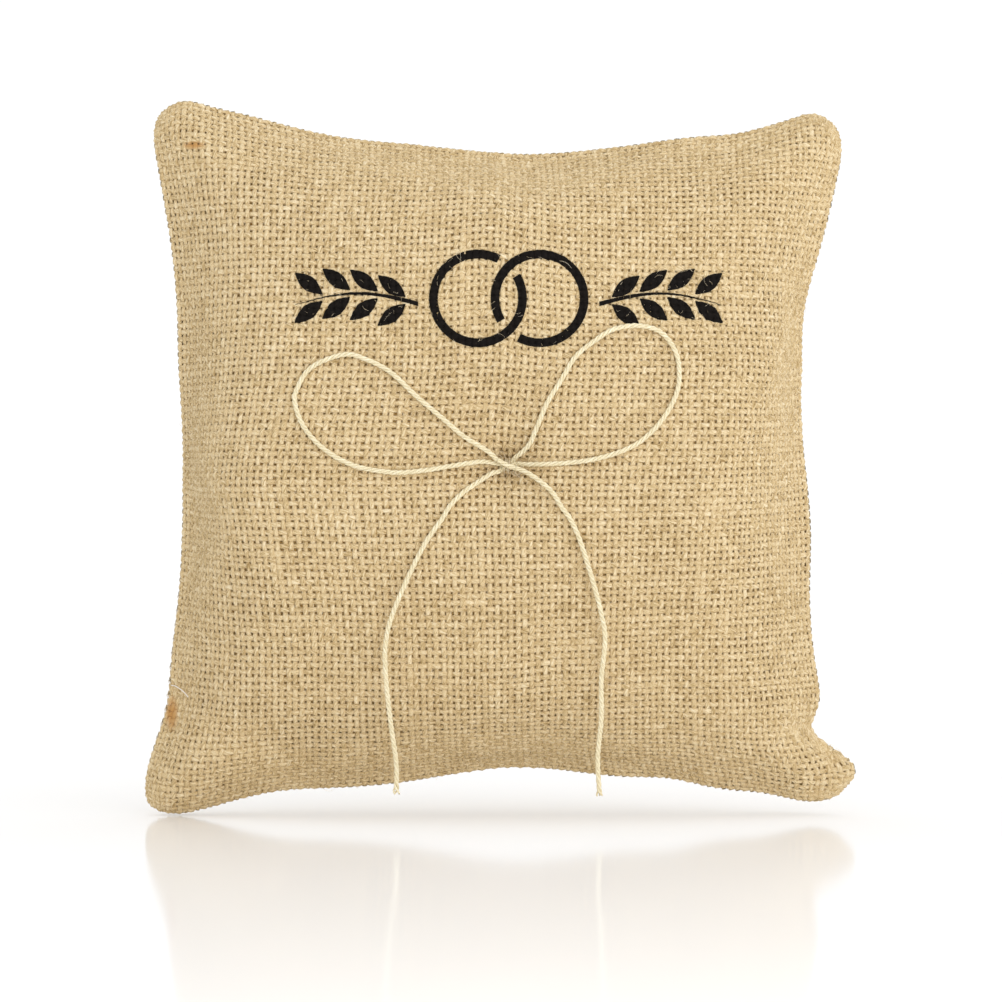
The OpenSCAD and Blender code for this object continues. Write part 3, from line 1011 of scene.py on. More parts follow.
    def _fitted(self, grid: Array, face: Face) -> Array:
        """Fit one blown-up face between the ears and press the bow's dimple into the front.

        Args:
            grid: The face's points, as shares of the flat square's side.
            face: Which face it is.

        Returns:
            The face's points in the pillow's own place.
        """
        u, v = self._shares()
        x, z = grid[..., 0] * self.flat_side, grid[..., 2] * self.flat_side + self.flat_middle
        y = grid[..., 1] * (self.rise / np.abs(grid[..., 1]).max())
        move = self._edge_moves(x, z)
        s, t = (u + 1) / 2, (v + 1) / 2
        across = (1 - s)[..., None] * move[:, :1] + s[..., None] * move[:, -1:]
        upward = (1 - t)[..., None] * move[:1] + t[..., None] * move[-1:]
        at_corners = (
            ((1 - s) * (1 - t))[..., None] * move[0, 0] + (s * (1 - t))[..., None] * move[0, -1]
            + ((1 - s) * t)[..., None] * move[-1, 0] + (s * t)[..., None] * move[-1, -1]
        )
        total = across + upward - at_corners
        x, z = x + total[..., 0], z + total[..., 1]
        for pucker in self.puckers:
            push = pucker.push(u, v)
            x, z = x + push[..., 0], z + push[..., 1]
        corner = np.abs(u * v)
        tip = np.clip((corner - self.tip_start) / (1 - self.tip_start), 0, 1)
        keep = 1 - self.ear_round * corner**self.ear_power - self.tip_round * tip**self.tip_power
        x, z = x * keep, CENTRE[2] + (z - CENTRE[2]) * keep
        if face is Face.FRONT:
            away = (x - KNOT_PLACE[0]) ** 2 + (z - KNOT_PLACE[1]) ** 2
            y = y + self.dimple_depth * np.exp(-away / self.dimple_radius**2)
            y = y + self.tuck_depth * np.exp(-away / self.tuck_radius**2)
            room = np.clip(self.rim_fade * np.sqrt(np.clip((1 - u**2) * (1 - v**2), 0, 1)), 0, 1)
            y = y + room * sum(crease.sink(x, z) for crease in self.creases_in_front)
        return np.stack([x, y, z], axis=-1)

    def _edge_moves(self, x: Array, z: Array) -> Array:
        """Work out how far each point of the rim moves to reach its place between the ears.

        Args:
            x: Places across of the grid's points.
            z: Places up of the grid's points.

        Returns:
            The moves across and up, meant only at the rim.
        """
        move = np.zeros((*x.shape, 2))
        rims = (
            (slice(None), 0, self.low_left, self.top_left, self.left, (1.0, 0.0), z),
            (slice(None), -1, self.low_right, self.top_right, self.right, (-1.0, 0.0), z),
            (0, slice(None), self.low_left, self.low_right, self.bottom, (0.0, 1.0), x),
            (-1, slice(None), self.top_left, self.top_right, self.top, (0.0, -1.0), x),
        )
        for rows, columns, start, end, bow, inward, run in rims:
            line = run[rows, columns]
            t = 2 * (line - line[0]) / (line[-1] - line[0]) - 1
            depth = bow.depth(t)
            share = (t + 1) / 2
            goal_x = start[0] + (end[0] - start[0]) * share + inward[0] * depth
            goal_z = start[1] + (end[1] - start[1]) * share + inward[1] * depth
            move[rows, columns, 0] = goal_x - x[rows, columns]
            move[rows, columns, 1] = goal_z - z[rows, columns]
        return move


@dataclass
class Weave:
    """Where each yarn of one panel's plain weave lies, with the unevenness of spun jute."""

    sheet: CrownedSheet
    seed: int
    yarns: int = 107
    middle_height: float = 0.80 * MM
    swing: float = 0.36 * MM
    half_width: float = 0.76 * MM
    half_height: float = 0.44 * MM
    shift: float = 0.022
    drift: float = 0.04
    drift_reach: int = 7
    even_rim: int = 5
    pitch: float = 1.85 * MM
    gap_depth: float = 0.1 * MM

    def __post_init__(self) -> None:
        """Draw the sideways shifts of both sets of yarns."""
        rng = np.random.default_rng(self.seed)
        near_rim = np.minimum(np.arange(self.yarns), np.arange(self.yarns)[::-1])
        fade = np.clip(near_rim / self.even_rim, 0, 1)
        self.shifts: dict[Lay, Array] = {}
        for lay in Lay:
            own = rng.standard_normal(self.yarns) * self.shift
            rows = np.stack([wander(rng, self.yarns, self.drift_reach) * self.drift + at for at in own])
            self.shifts[lay] = rows * fade[:, None]

    @staticmethod
    def _between(table: Array, row: Array, column: Array) -> Array:
        """Read a table between its rows and columns.

        Args:
            table: The table.
            row: Places along its rows, in whole rows and shares of one.
            column: Places along its columns, in the same way.

        Returns:
            The value at each place.
        """
        top = len(table) - 1
        row, column = np.clip(row, 0, top), np.clip(column, 0, top)
        r, c = np.minimum(row.astype(int), top - 1), np.minimum(column.astype(int), top - 1)
        fr, fc = row - r, column - c
        return (
            table[r, c] * (1 - fr) * (1 - fc) + table[r + 1, c] * fr * (1 - fc)
            + table[r, c + 1] * (1 - fr) * fc + table[r + 1, c + 1] * fr * fc
        )

    def shares(self, a: Array, b: Array) -> tuple[Array, Array]:
        """Turn yarn numbers into places on the face.

        Args:
            a: Number of the warp yarn, counted from the left.
            b: Number of the weft yarn, counted from the bottom.

        Returns:
            The places u and v on the face.
        """
        u = (a + 0.5 + self._between(self.shifts[Lay.WARP], a, b)) * 2 / self.yarns - 1
        v = (b + 0.5 + self._between(self.shifts[Lay.WEFT], b, a)) * 2 / self.yarns - 1
        return u, v

    def numbers(self, u: Array, v: Array) -> tuple[Array, Array]:
        """Turn places on the face back into yarn numbers.

        Args:
            u: Places across on the face.
            v: Places up on the face.

        Returns:
            The numbers of the warp and of the weft yarn, in whole yarns and shares of one.
        """
        rounds = 4
        a, b = (u + 1) * self.yarns / 2 - 0.5, (v + 1) * self.yarns / 2 - 0.5
        for _ in range(rounds):
            now_u, now_v = self.shares(a, b)
            a, b = a + (u - now_u) * self.yarns / 2, b + (v - now_v) * self.yarns / 2
        return a, b

    def sway(self, lay: Lay, number: Array, along: Array) -> Array:
        """Give how far a yarn's middle stands over the mean height of the weave.

        Args:
            lay: Which way the yarn runs.
            number: Number of the yarn.
            along: Number of the crossing that it is at, or between two of them.

        Returns:
            The height, positive where the yarn passes over.
        """
        over = np.where(np.asarray(number) % 2 == 0, 1.0, -1.0)
        sign = 1.0 if lay is Lay.WARP else -1.0
        return sign * over * self.swing * np.cos(math.pi * along)

    def top(self, u: Array, v: Array) -> Array:
        """Give the height of the uppermost yarn, or of the lining in a gap, over the face.

        Args:
            u: Places across on the face.
            v: Places up on the face.

        Returns:
            The heights.
        """
        a, b = self.numbers(u, v)
        heights = []
        for lay, number, along in ((Lay.WARP, a, b), (Lay.WEFT, b, a)):
            nearest = np.round(number)
            away = np.abs(number - nearest) * self.pitch / self.half_width
            crown = self.half_height * np.sqrt(np.clip(1 - away**2, 0, 1))
            height = self.middle_height + self.sway(lay, nearest, along) + crown
            heights.append(np.where(away < 1, height, self.middle_height - self.gap_depth))
        return np.maximum(*heights)


@dataclass
class BurlapPanel:
    """One square of burlap, yarn by yarn, with its edges turned inside at the seam."""

    weave: Weave
    face: Face
    finish: bpy.types.Material
    halves: int = 2
    sides: int = 6
    turned_in: float = 4.5 * MM
    turned_near: float = 1.3 * MM
    turned_aside: float = 0.62 * MM
    thick_wander: float = 0.07
    thick_own: float = 0.025
    slub: float = 0.35
    slub_reach: float = 2.2
    tone_own: float = 0.03
    tone_wander: float = 0.065

    def build(self) -> list[bpy.types.Object]:
        """Make the yarns, in a few pieces for each way that they run."""
        made = []
        side_name = self.face.name.lower()
        rng = np.random.default_rng(self.weave.seed + 50)
        for lay in Lay:
            for numbers in np.array_split(np.arange(self.weave.yarns), self.halves):
                sheaf = MeshSheaf()
                for place, number in enumerate(numbers):
                    cell = (place / len(numbers), (place + 1) / len(numbers))
                    self._spin(sheaf, lay, int(number), cell, rng)
                name = f"{side_name}_{lay.value}_yarns_{'ab'[numbers[0] > 0]}"
                piece = settle(sheaf.build(name, self.finish), "burlap", f"{side_name}_panel")
                made.append(piece)
        return made

    def _spin(
        self, sheaf: MeshSheaf, lay: Lay, number: int, cell: tuple[float, float], rng: np.random.Generator
    ) -> None:
        """Lay one yarn through the weave.

        Args:
            sheaf: Where the yarn is gathered.
            lay: Which way it runs.
            number: Its number.
            cell: Its share of the bake map.
            rng: Seeded source of its unevenness.
        """
        weave, yarns = self.weave, self.weave.yarns
        along = np.arange(2 * yarns + 1) / 2 - 0.5
        own = np.full_like(along, float(number))
        u, v = weave.shares(own, along) if lay is Lay.WARP else weave.shares(along, own)
        point, out = weave.sheet.at(u, v)
        height = weave.middle_height + weave.sway(lay, own, along)
        line = point + out * height[:, None]
        thick = self.thick_wander * wander(rng, len(along), 2) + self.thick_own * rng.standard_normal()
        lump = np.exp(-(((along - rng.uniform(0, 4 * yarns)) / self.slub_reach) ** 2))
        thick = 1 + thick + self.slub * lump
        tone = 0.5 + self.tone_own * rng.standard_normal() + self.tone_wander * wander(rng, len(along), 1)
        first, last = self._turned(point, 0), self._turned(point, -1)
        line = np.vstack([first, line, last])
        extra = len(first)
        grown = np.pad(thick, extra, mode="edge")
        sheaf.strand(
            line,
            np.vstack([np.repeat(out[:1], extra, 0), out, np.repeat(out[-1:], extra, 0)]),
            weave.half_width * np.clip(grown, 0.72, 1.45),
            weave.half_height * np.clip(grown, 0.8, 1.25) ** 0.7,
            self.sides,
            cell,
            np.clip(np.pad(tone, extra, mode="edge"), 0, 1),
            twist=YARN_TWIST,
            seed_place=float(rng.uniform(0, 400)),
        )

    def _turned(self, point: Array, end: int) -> Array:
        """Give the points where a yarn's end turns inside at the rim.

        Args:
            point: The yarn's places on the face.
            end: 0 for its first end, -1 for its last.

        Returns:
            The extra points, in the line's own order.
        """
        inner = 1 if end == 0 else -2
        inward = unit((point[inner] - point[end]) * np.array([1.0, 0.0, 1.0]))
        aside = np.array([0.0, self.face.value * self.turned_aside, 0.0])
        near = point[end] + inward * self.turned_near + aside
        far = point[end] + inward * self.turned_in + aside * 1.3
        return np.stack([far, near]) if end == 0 else np.stack([near, far])


@dataclass
class EdgeYarns:
    """The outermost yarns of both panels, folded in at the seam, which close the rim."""

    form: StuffedForm
    finish: bpy.types.Material
    inside: float = 0.55 * MM
    half_width: float = 0.85 * MM
    half_height: float = 0.5 * MM
    sides: int = 8
    tone_wander: float = 0.08

    def build(self) -> bpy.types.Object:
        """Make one yarn for each of the four sides."""
        sheaf = MeshSheaf()
        line = np.linspace(-1, 1, 180)
        edge = np.ones_like(line)
        rng = np.random.default_rng(41)
        for number, (u, v) in enumerate(((line, -edge), (edge, line), (line, edge), (-edge, line))):
            rim, _ = self.form.sheets[Face.FRONT].at(u, v)
            inward = unit(np.array(CENTRE) - rim) * np.array([1.0, 0.0, 1.0])
            outward = np.cross(np.gradient(rim, axis=0), [0.0, 1.0, 0.0])
            tone = np.clip(0.5 + self.tone_wander * wander(rng, len(line), 2), 0, 1)
            sheaf.strand(
                rim + inward * self.inside, outward, self.half_width, self.half_height, self.sides,
                (number / 4, (number + 1) / 4), tone, twist=YARN_TWIST, seed_place=50.0 * number,
            )
        piece = settle(sheaf.build("folded_edge_yarns", self.finish), "burlap")
        return piece


@dataclass
class Lining:
    """Thin tan cotton behind one panel's open weave."""

    sheet: CrownedSheet
    face: Face
    finish: bpy.types.Material
    cloth: float = 0.35 * MM
    inset: float = 0.997
    columns: int = 97

    def build(self) -> bpy.types.Object:
        """Make the lining as a closed thin slab."""
        line = np.linspace(-self.inset, self.inset, self.columns)
        u, v = np.meshgrid(line, line)
        sheaf = MeshSheaf()
        outer = self.sheet.at_height(u, v, 0.0)
        inner = self.sheet.at_height(u, v, -self.cloth)
        sheaf.slab(outer, inner, flip=self.face is Face.BACK)
        name = self.face.name.lower()
        piece = sheaf.build(f"{name}_lining_cloth", self.finish, merge=True)
        settle(piece, "lining_cotton", f"{name}_lining")
        return piece


@dataclass
class Filling:
    """The loose fibre inside, a little lumpy, with its seam groove closed."""

    form: StuffedForm
    finish: bpy.types.Material
    gap: float = 0.8 * MM
    inset: float = 0.955
    columns: int = 61
    lump: float = 0.5 * MM
    ripples: int = 6
    ripple_turns: tuple[float, float] = (4, 13)

    def build(self) -> bpy.types.Object:
        """Make one closed lump from both faces of the form."""
        rng = np.random.default_rng(71)
        line = np.linspace(-self.inset, self.inset, self.columns)
        u, v = np.meshgrid(line, line)
        sheaf = MeshSheaf()
        rims = []
        for face, sheet in self.form.sheets.items():
            ripple = np.zeros_like(u)
            for _ in range(self.ripples):
                across = np.sin(u * rng.uniform(*self.ripple_turns) + rng.uniform(0, 6))
                ripple += across * np.sin(v * rng.uniform(*self.ripple_turns) + rng.uniform(0, 6))
            grid = sheet.at_height(u, v, -self.gap - self.lump * (1 + ripple / self.ripples))
            sheaf.patch(grid, flip=face is Face.BACK)
            rims.append(np.vstack([grid[0, :-1], grid[:-1, -1], grid[-1, :0:-1], grid[::-1, 0]]))
        sheaf.patch(np.stack([rims[1], rims[0]]), flip=False)
        piece = sheaf.build("filling_fibre", self.finish, merge=True)
        settle(piece, "polyester_fibre", "fibre_filling")
        return piece


@dataclass
class FineThread:
    """Sewing thread, swept as one thin strand."""

    finish: bpy.types.Material
    diameter: float = 0.42 * MM
    sides: int = 6

    def lay(self, sheaf: MeshSheaf, line: Array, up: Array, share: float = 1.0) -> None:
        """Lay a length of the thread.

        Args:
            sheaf: Where it is gathered.
            line: Points of its centre line.
            up: A direction across the line.
            share: Its thickness, as a share of the thread's diameter.
        """
        half = self.diameter / 2 * share
        sheaf.strand(line, up, half, half, self.sides, twist=700.0, seed_place=float(line[0, 2]) * 5000)


@dataclass
class SeamThread:
    """The machine seam that joins the two panels, a little inside the rim."""

    form: StuffedForm
    thread: FineThread
    inside: float = 2.6 * MM
    stitch: float = 3.0 * MM
    swing: float = 0.5 * MM

    def build(self) -> bpy.types.Object:
        """Make the thread, which passes from one panel to the other at each stitch."""
        sheet = self.form.sheets[Face.FRONT]
        line = np.linspace(-1, 1, 240)
        edge = np.ones_like(line)
        u = np.concatenate([line, edge, line[::-1], -edge])
        v = np.concatenate([-edge, line, edge, line[::-1]])
        rim, _ = sheet.at(u, v)
        inward = unit((np.array(CENTRE) - rim) * np.array([1.0, 0.0, 1.0]))
        route = respaced(rim + inward * self.inside, 0.5 * MM)
        along = arc_lengths(route)
        route[:, 1] += self.swing * np.sin(along * TURN / (2 * self.stitch))
        sheaf = MeshSheaf()
        self.thread.lay(sheaf, route[:-2], np.array([0.0, 1.0, 0.0]))
        return settle(sheaf.build("seam_thread_run", self.thread.finish), "sewing_thread", "seam_thread")


@dataclass
class ClosingSeam:
    """The turning gap on the left side, sewn up by hand, with the thread's loose end on the front."""

    form: StuffedForm
    thread: FineThread
    lowest: float = 22 * MM
    highest: float = 62 * MM
    pitch: float = 4 * MM
    reach: float = 1.2 * MM
    lean: float = 0.9 * MM
    unevenness: float = 0.2 * MM
    bulge: float = 0.85 * MM
    bulge_fall: float = 0.7 * MM

    def build(self) -> list[bpy.types.Object]:
        """Make the hand stitches and the loose end."""
        return [self._stitches(), self._loose_end()]

    def _rim_at(self, z: Array) -> Array:
        """Find points of the left rim.

        Args:
            z: Their heights.

        Returns:
            The points.
        """
        v = np.linspace(-1, 1, 400)
        rim, _ = self.form.sheets[Face.FRONT].at(-np.ones_like(v), v)
        order = np.argsort(rim[:, 2])
        return np.stack([np.interp(z, rim[order, 2], rim[order, axis]) for axis in range(3)], axis=1)

    def _stitches(self) -> bpy.types.Object:
        """Make slanted stitches that cross the rim."""
        rng = np.random.default_rng(17)
        sheaf = MeshSheaf()
        for z in np.arange(self.lowest, self.highest + self.pitch / 2, self.pitch):
            t = np.linspace(-1, 1, 9)
            lean = self.lean + rng.normal(0, self.unevenness)
            rim = self._rim_at(z + t * lean)
            out = self.bulge - self.bulge_fall * t**2
            line = rim + np.stack([-out, t * self.reach, np.zeros_like(t)], axis=1)
            self.thread.lay(sheaf, line, np.array([-1.0, 0.0, 0.0]))
        piece = sheaf.build("hand_closing_stitches", self.thread.finish)
        return settle(piece, "sewing_thread", "closing_stitches")

    def _loose_end(self) -> bpy.types.Object:
        """Make the curved end of the thread, lying on the front panel."""
        x = np.array([-92.6, -91.6, -90.4, -89.2, -88.2, -87.4]) * MM
        z = np.array([36.9, 36.8, 36.3, 35.5, 34.6, 33.7]) * MM
        lift = 1.5 * MM + np.array([0.1, 0.5, 0.8, 0.7, 0.4, 0.2]) * MM
        line = rounded(self.form.sheets[Face.FRONT].over(x, z, lift), 0.3 * MM)
        sheaf = MeshSheaf()
        self.thread.lay(sheaf, line, np.array([0.0, -1.0, 0.0]), 0.7)
        piece = sheaf.build("closing_thread_tail", self.thread.finish)
        return settle(piece, "sewing_thread", "closing_thread_end")


@dataclass
class PrintedMotif:
    """Two linked rings between leafy sprigs, in ink that follows the yarns."""

    weave: Weave
    finish: bpy.types.Material
    middle: tuple[float, float] = (3 * MM, 145 * MM)
    ring_radius: float = 13.5 * MM
    ring_band: float = 2.4 * MM
    ring_spacing: float = 17 * MM
    ring_gap: float = 16.0
    sprig_gap: float = 3 * MM
    sprig_length: float = 34 * MM
    stem_width: float = 1.2 * MM
    leaf_length: float = 10 * MM
    leaf_width: float = 4 * MM
    leaf_pairs: int = 4
    leaf_turn: float = 38.0
    leaf_clear: float = 0.3 * MM
    first_leaf: float = 0.1
    leaf_span: float = 0.68
    leaf_blunt: float = 0.02
    stem_bow: float = 3 * MM
    stem_tip: float = 0.05
    mean_height: float = 1.4 * MM
    film: float = 0.16 * MM
    cell: float = 0.22 * MM

    def build(self) -> list[bpy.types.Object]:
        """Make the rings and both sprigs."""
        return [self._rings(), self._sprig(-1, "left"), self._sprig(1, "right")]

    def _ink(self, sheaf: MeshSheaf, one: Array, other: Array) -> None:
        """Lay ink between two edges of a stroke.

        Args:
            sheaf: Where it is gathered.
            one: Points [x, z] of one edge.
            other: Points [x, z] of the other edge.
        """
        width = float(np.linalg.norm(one - other, axis=1).max())
        t = np.linspace(0, 1, max(3, int(width / self.cell) + 1))[:, None, None]
        flat = one[None] * (1 - t) + other[None] * t
        sheet = self.weave.sheet
        u, v = sheet.under(flat[..., 0], flat[..., 1], self.mean_height)
        height = self.weave.top(u, v)
        top = sheet.at_height(u, v, height + self.film)
        sheaf.slab(top, sheet.at_height(u, v, height - self.film / 2), flip=self._turns_back(top))

    @staticmethod
    def _turns_back(grid: Array) -> bool:
        """Tell whether a patch's rows and columns make it face into the pillow.

        Args:
            grid: The patch's points.

        Returns:
            Whether it does.
        """
        row, column = grid.shape[0] // 2, grid.shape[1] // 2
        along = grid[row, column + 1] - grid[row, column]
        up = grid[row + 1, column] - grid[row - 1, column]
        return bool(np.cross(along, up)[1] > 0)

    def _arc(self, centre: Array, radius: float, start: float, end: float) -> Array:
        """Draw an arc.

        Args:
            centre: Its centre [x, z].
            radius: Its radius.
            start: Where it starts, in degrees.
            end: Where it ends, in degrees.

        Returns:
            Its points [x, z].
        """
        count = int(abs(end - start) / 360 * TURN * radius / self.cell)
        angle = np.radians(np.linspace(start, end, count))
        return centre + radius * np.stack([np.cos(angle), np.sin(angle)], axis=1)

    def _rings(self) -> bpy.types.Object:
        """Print the two rings, each passing under the other once."""
        sheaf = MeshSheaf()
        reach = self.ring_spacing / (2 * self.ring_radius - self.ring_band)
        crossing = math.degrees(math.acos(reach))
        for way, gap_at in ((-1, crossing), (1, 180 + crossing)):
            centre = np.array(self.middle) + np.array([way * self.ring_spacing / 2, 0.0])
            start, end = gap_at + self.ring_gap, gap_at + 360 - self.ring_gap
            outer = self._arc(centre, self.ring_radius, start, end)
            inner = centre + (outer - centre) * (1 - self.ring_band / self.ring_radius)
            self._ink(sheaf, inner, outer)
        return settle(sheaf.build("printed_rings", self.finish, merge=True), "black_ink", "rings_print")

    def _rise(self, t: Array) -> Array:
        """Give the height of a sprig's curved stem along its length."""
        return self.stem_bow * (np.sin(math.pi * t) - 0.5)

    def _leaf(self, sheaf: MeshSheaf, root: Array, angle: float, way: int) -> None:
        """Print one pointed leaf.

        Args:
            sheaf: Where it is gathered.
            root: Place [x, z] of its foot.
            angle: Its rise over the level, in degrees.
            way: 1 where it points to the right, -1 to the left.
        """
        turn = math.radians(angle)
        along = np.array([way * math.cos(turn), math.sin(turn)])
        across = np.array([-math.sin(turn), way * math.cos(turn)])
        t = np.linspace(self.leaf_blunt, 1 - self.leaf_blunt, int(self.leaf_length / self.cell))
        spine = root + self.leaf_length * t[:, None] * along
        half = (self.leaf_width / 2 * np.sin(math.pi * t))[:, None] * across
        self._ink(sheaf, spine + half, spine - half)

    def _sprig(self, way: int, side: str) -> bpy.types.Object:
        """Print one sprig: a stem with pairs of leaves.

        Args:
            way: 1 for the sprig on the right, -1 for the one on the left.
            side: Its name.

        Returns:
            The printed piece.
        """
        sheaf = MeshSheaf()
        away = self.ring_spacing / 2 + self.ring_radius + self.sprig_gap
        start = np.array(self.middle) + np.array([way * away, 0.0])
        t = np.linspace(0, 1, int(self.sprig_length / self.cell))
        spine = start + np.stack([way * self.sprig_length * t, self._rise(t)], axis=1)
        half = np.stack([np.zeros_like(t), self.stem_width / 2 * (1 + self.stem_tip - t)], axis=1)
        self._ink(sheaf, spine + half, spine - half)
        clear = np.array([0.0, self.stem_width / 2 + self.leaf_clear])
        for k in range(self.leaf_pairs):
            place = self.first_leaf + self.leaf_span * k / (self.leaf_pairs - 1)
            root = start + np.array([way * self.sprig_length * place, float(self._rise(np.array(place)))])
            self._leaf(sheaf, root + clear, self.leaf_turn, way)
            self._leaf(sheaf, root - clear, -self.leaf_turn, way)
        piece = sheaf.build(f"printed_{side}_sprig", self.finish, merge=True)
        return settle(piece, "black_ink", f"{side}_sprig_print")


@dataclass
class Twine:
    """Thin cream twine of three plies laid together."""

    finish: bpy.types.Material
    diameter: float = 1.5 * MM
    plies: int = 3
    ply_radius: float = 0.37 * MM
    lay_length: float = 5.4 * MM
    spacing: float = 0.42 * MM
    sides: int = 7
    flatness: float = 0.96
    thinning: float = 0.25
    opening: float = 1.3
    ply_twist: float = -260.0

    def lay(self, sheaf: MeshSheaf, route: Array, open_end: float = 0.0) -> None:
        """Lay a length of twine along a route.

        Args:
            sheaf: Where it is gathered.
            route: Evenly spaced points of its centre line.
            open_end: Length at its last end over which the plies come apart.
        """
        out = np.array([0.0, -1.0, 0.0])
        along = arc_lengths(route)
        tangent = unit(np.gradient(route, axis=0))
        across = unit(np.cross(tangent, out))
        lift = np.cross(across, tangent)
        spread = self.diameter / 2 - self.ply_radius
        loose = np.clip(1 - (along[-1] - along) / open_end, 0, 1) if open_end else np.zeros_like(along)
        half = self.ply_radius * (1 - self.thinning * loose)
        for ply in range(self.plies):
            turn = TURN * (along / self.lay_length + ply / self.plies)
            radial = np.cos(turn)[:, None] * across + np.sin(turn)[:, None] * lift
            centre = route + radial * (spread * (1 + self.opening * loose**1.5))[:, None]
            cell = (ply / self.plies, (ply + 1) / self.plies)
            sheaf.strand(
                centre, radial, half, half * self.flatness, self.sides, cell,
                0.42 + 0.08 * ply, twist=self.ply_twist, seed_place=37.0 * ply,
            )


@dataclass
class LaidCord:
    """One run of the bow's twine between the knot and its other end."""

    name: str
    node: str
    stops: Sequence[tuple[float, float, float]]
    length: float
    far_end: str
    hangs: bool
    open_end: float = 0.0

    def route(self, sheet: CrownedSheet, radius: float, crown: float, spacing: float) -> Array:
        """Work out the run's centre line on the front of the pillow.

        Args:
            sheet: The front face.
            radius: Half of the twine's diameter.
            crown: Height of the yarns' crowns over the face.
            spacing: Distance between the points of the result.

        Returns:
            The points of the centre line.
        """
        stops = np.array(self.stops) * MM
        flat = rounded(stops, spacing)
        on_face = sheet.over(flat[:, 0], flat[:, 1], crown + radius)
        depth = -on_face[:, 1] + flat[:, 2]
        if self.hangs:
            depth = self._plumb(depth)
        return respaced(np.stack([flat[:, 0], -depth, flat[:, 1]], axis=1), spacing)

    @staticmethod
    def _plumb(depth: Array) -> Array:
        """Let the run hang straight down once the face falls back behind it.

        Args:
            depth: How far out each of its points lies on the face.

        Returns:
            How far out each point hangs.
        """
        start = len(depth) // 4
        held = depth.copy()
        held[start:] = np.maximum.accumulate(depth[start:])
        soft = 21
        window = np.ones(soft) / soft
        eased = np.convolve(np.pad(held, soft // 2, mode="edge"), window, mode="valid")
        return np.maximum(eased, depth)


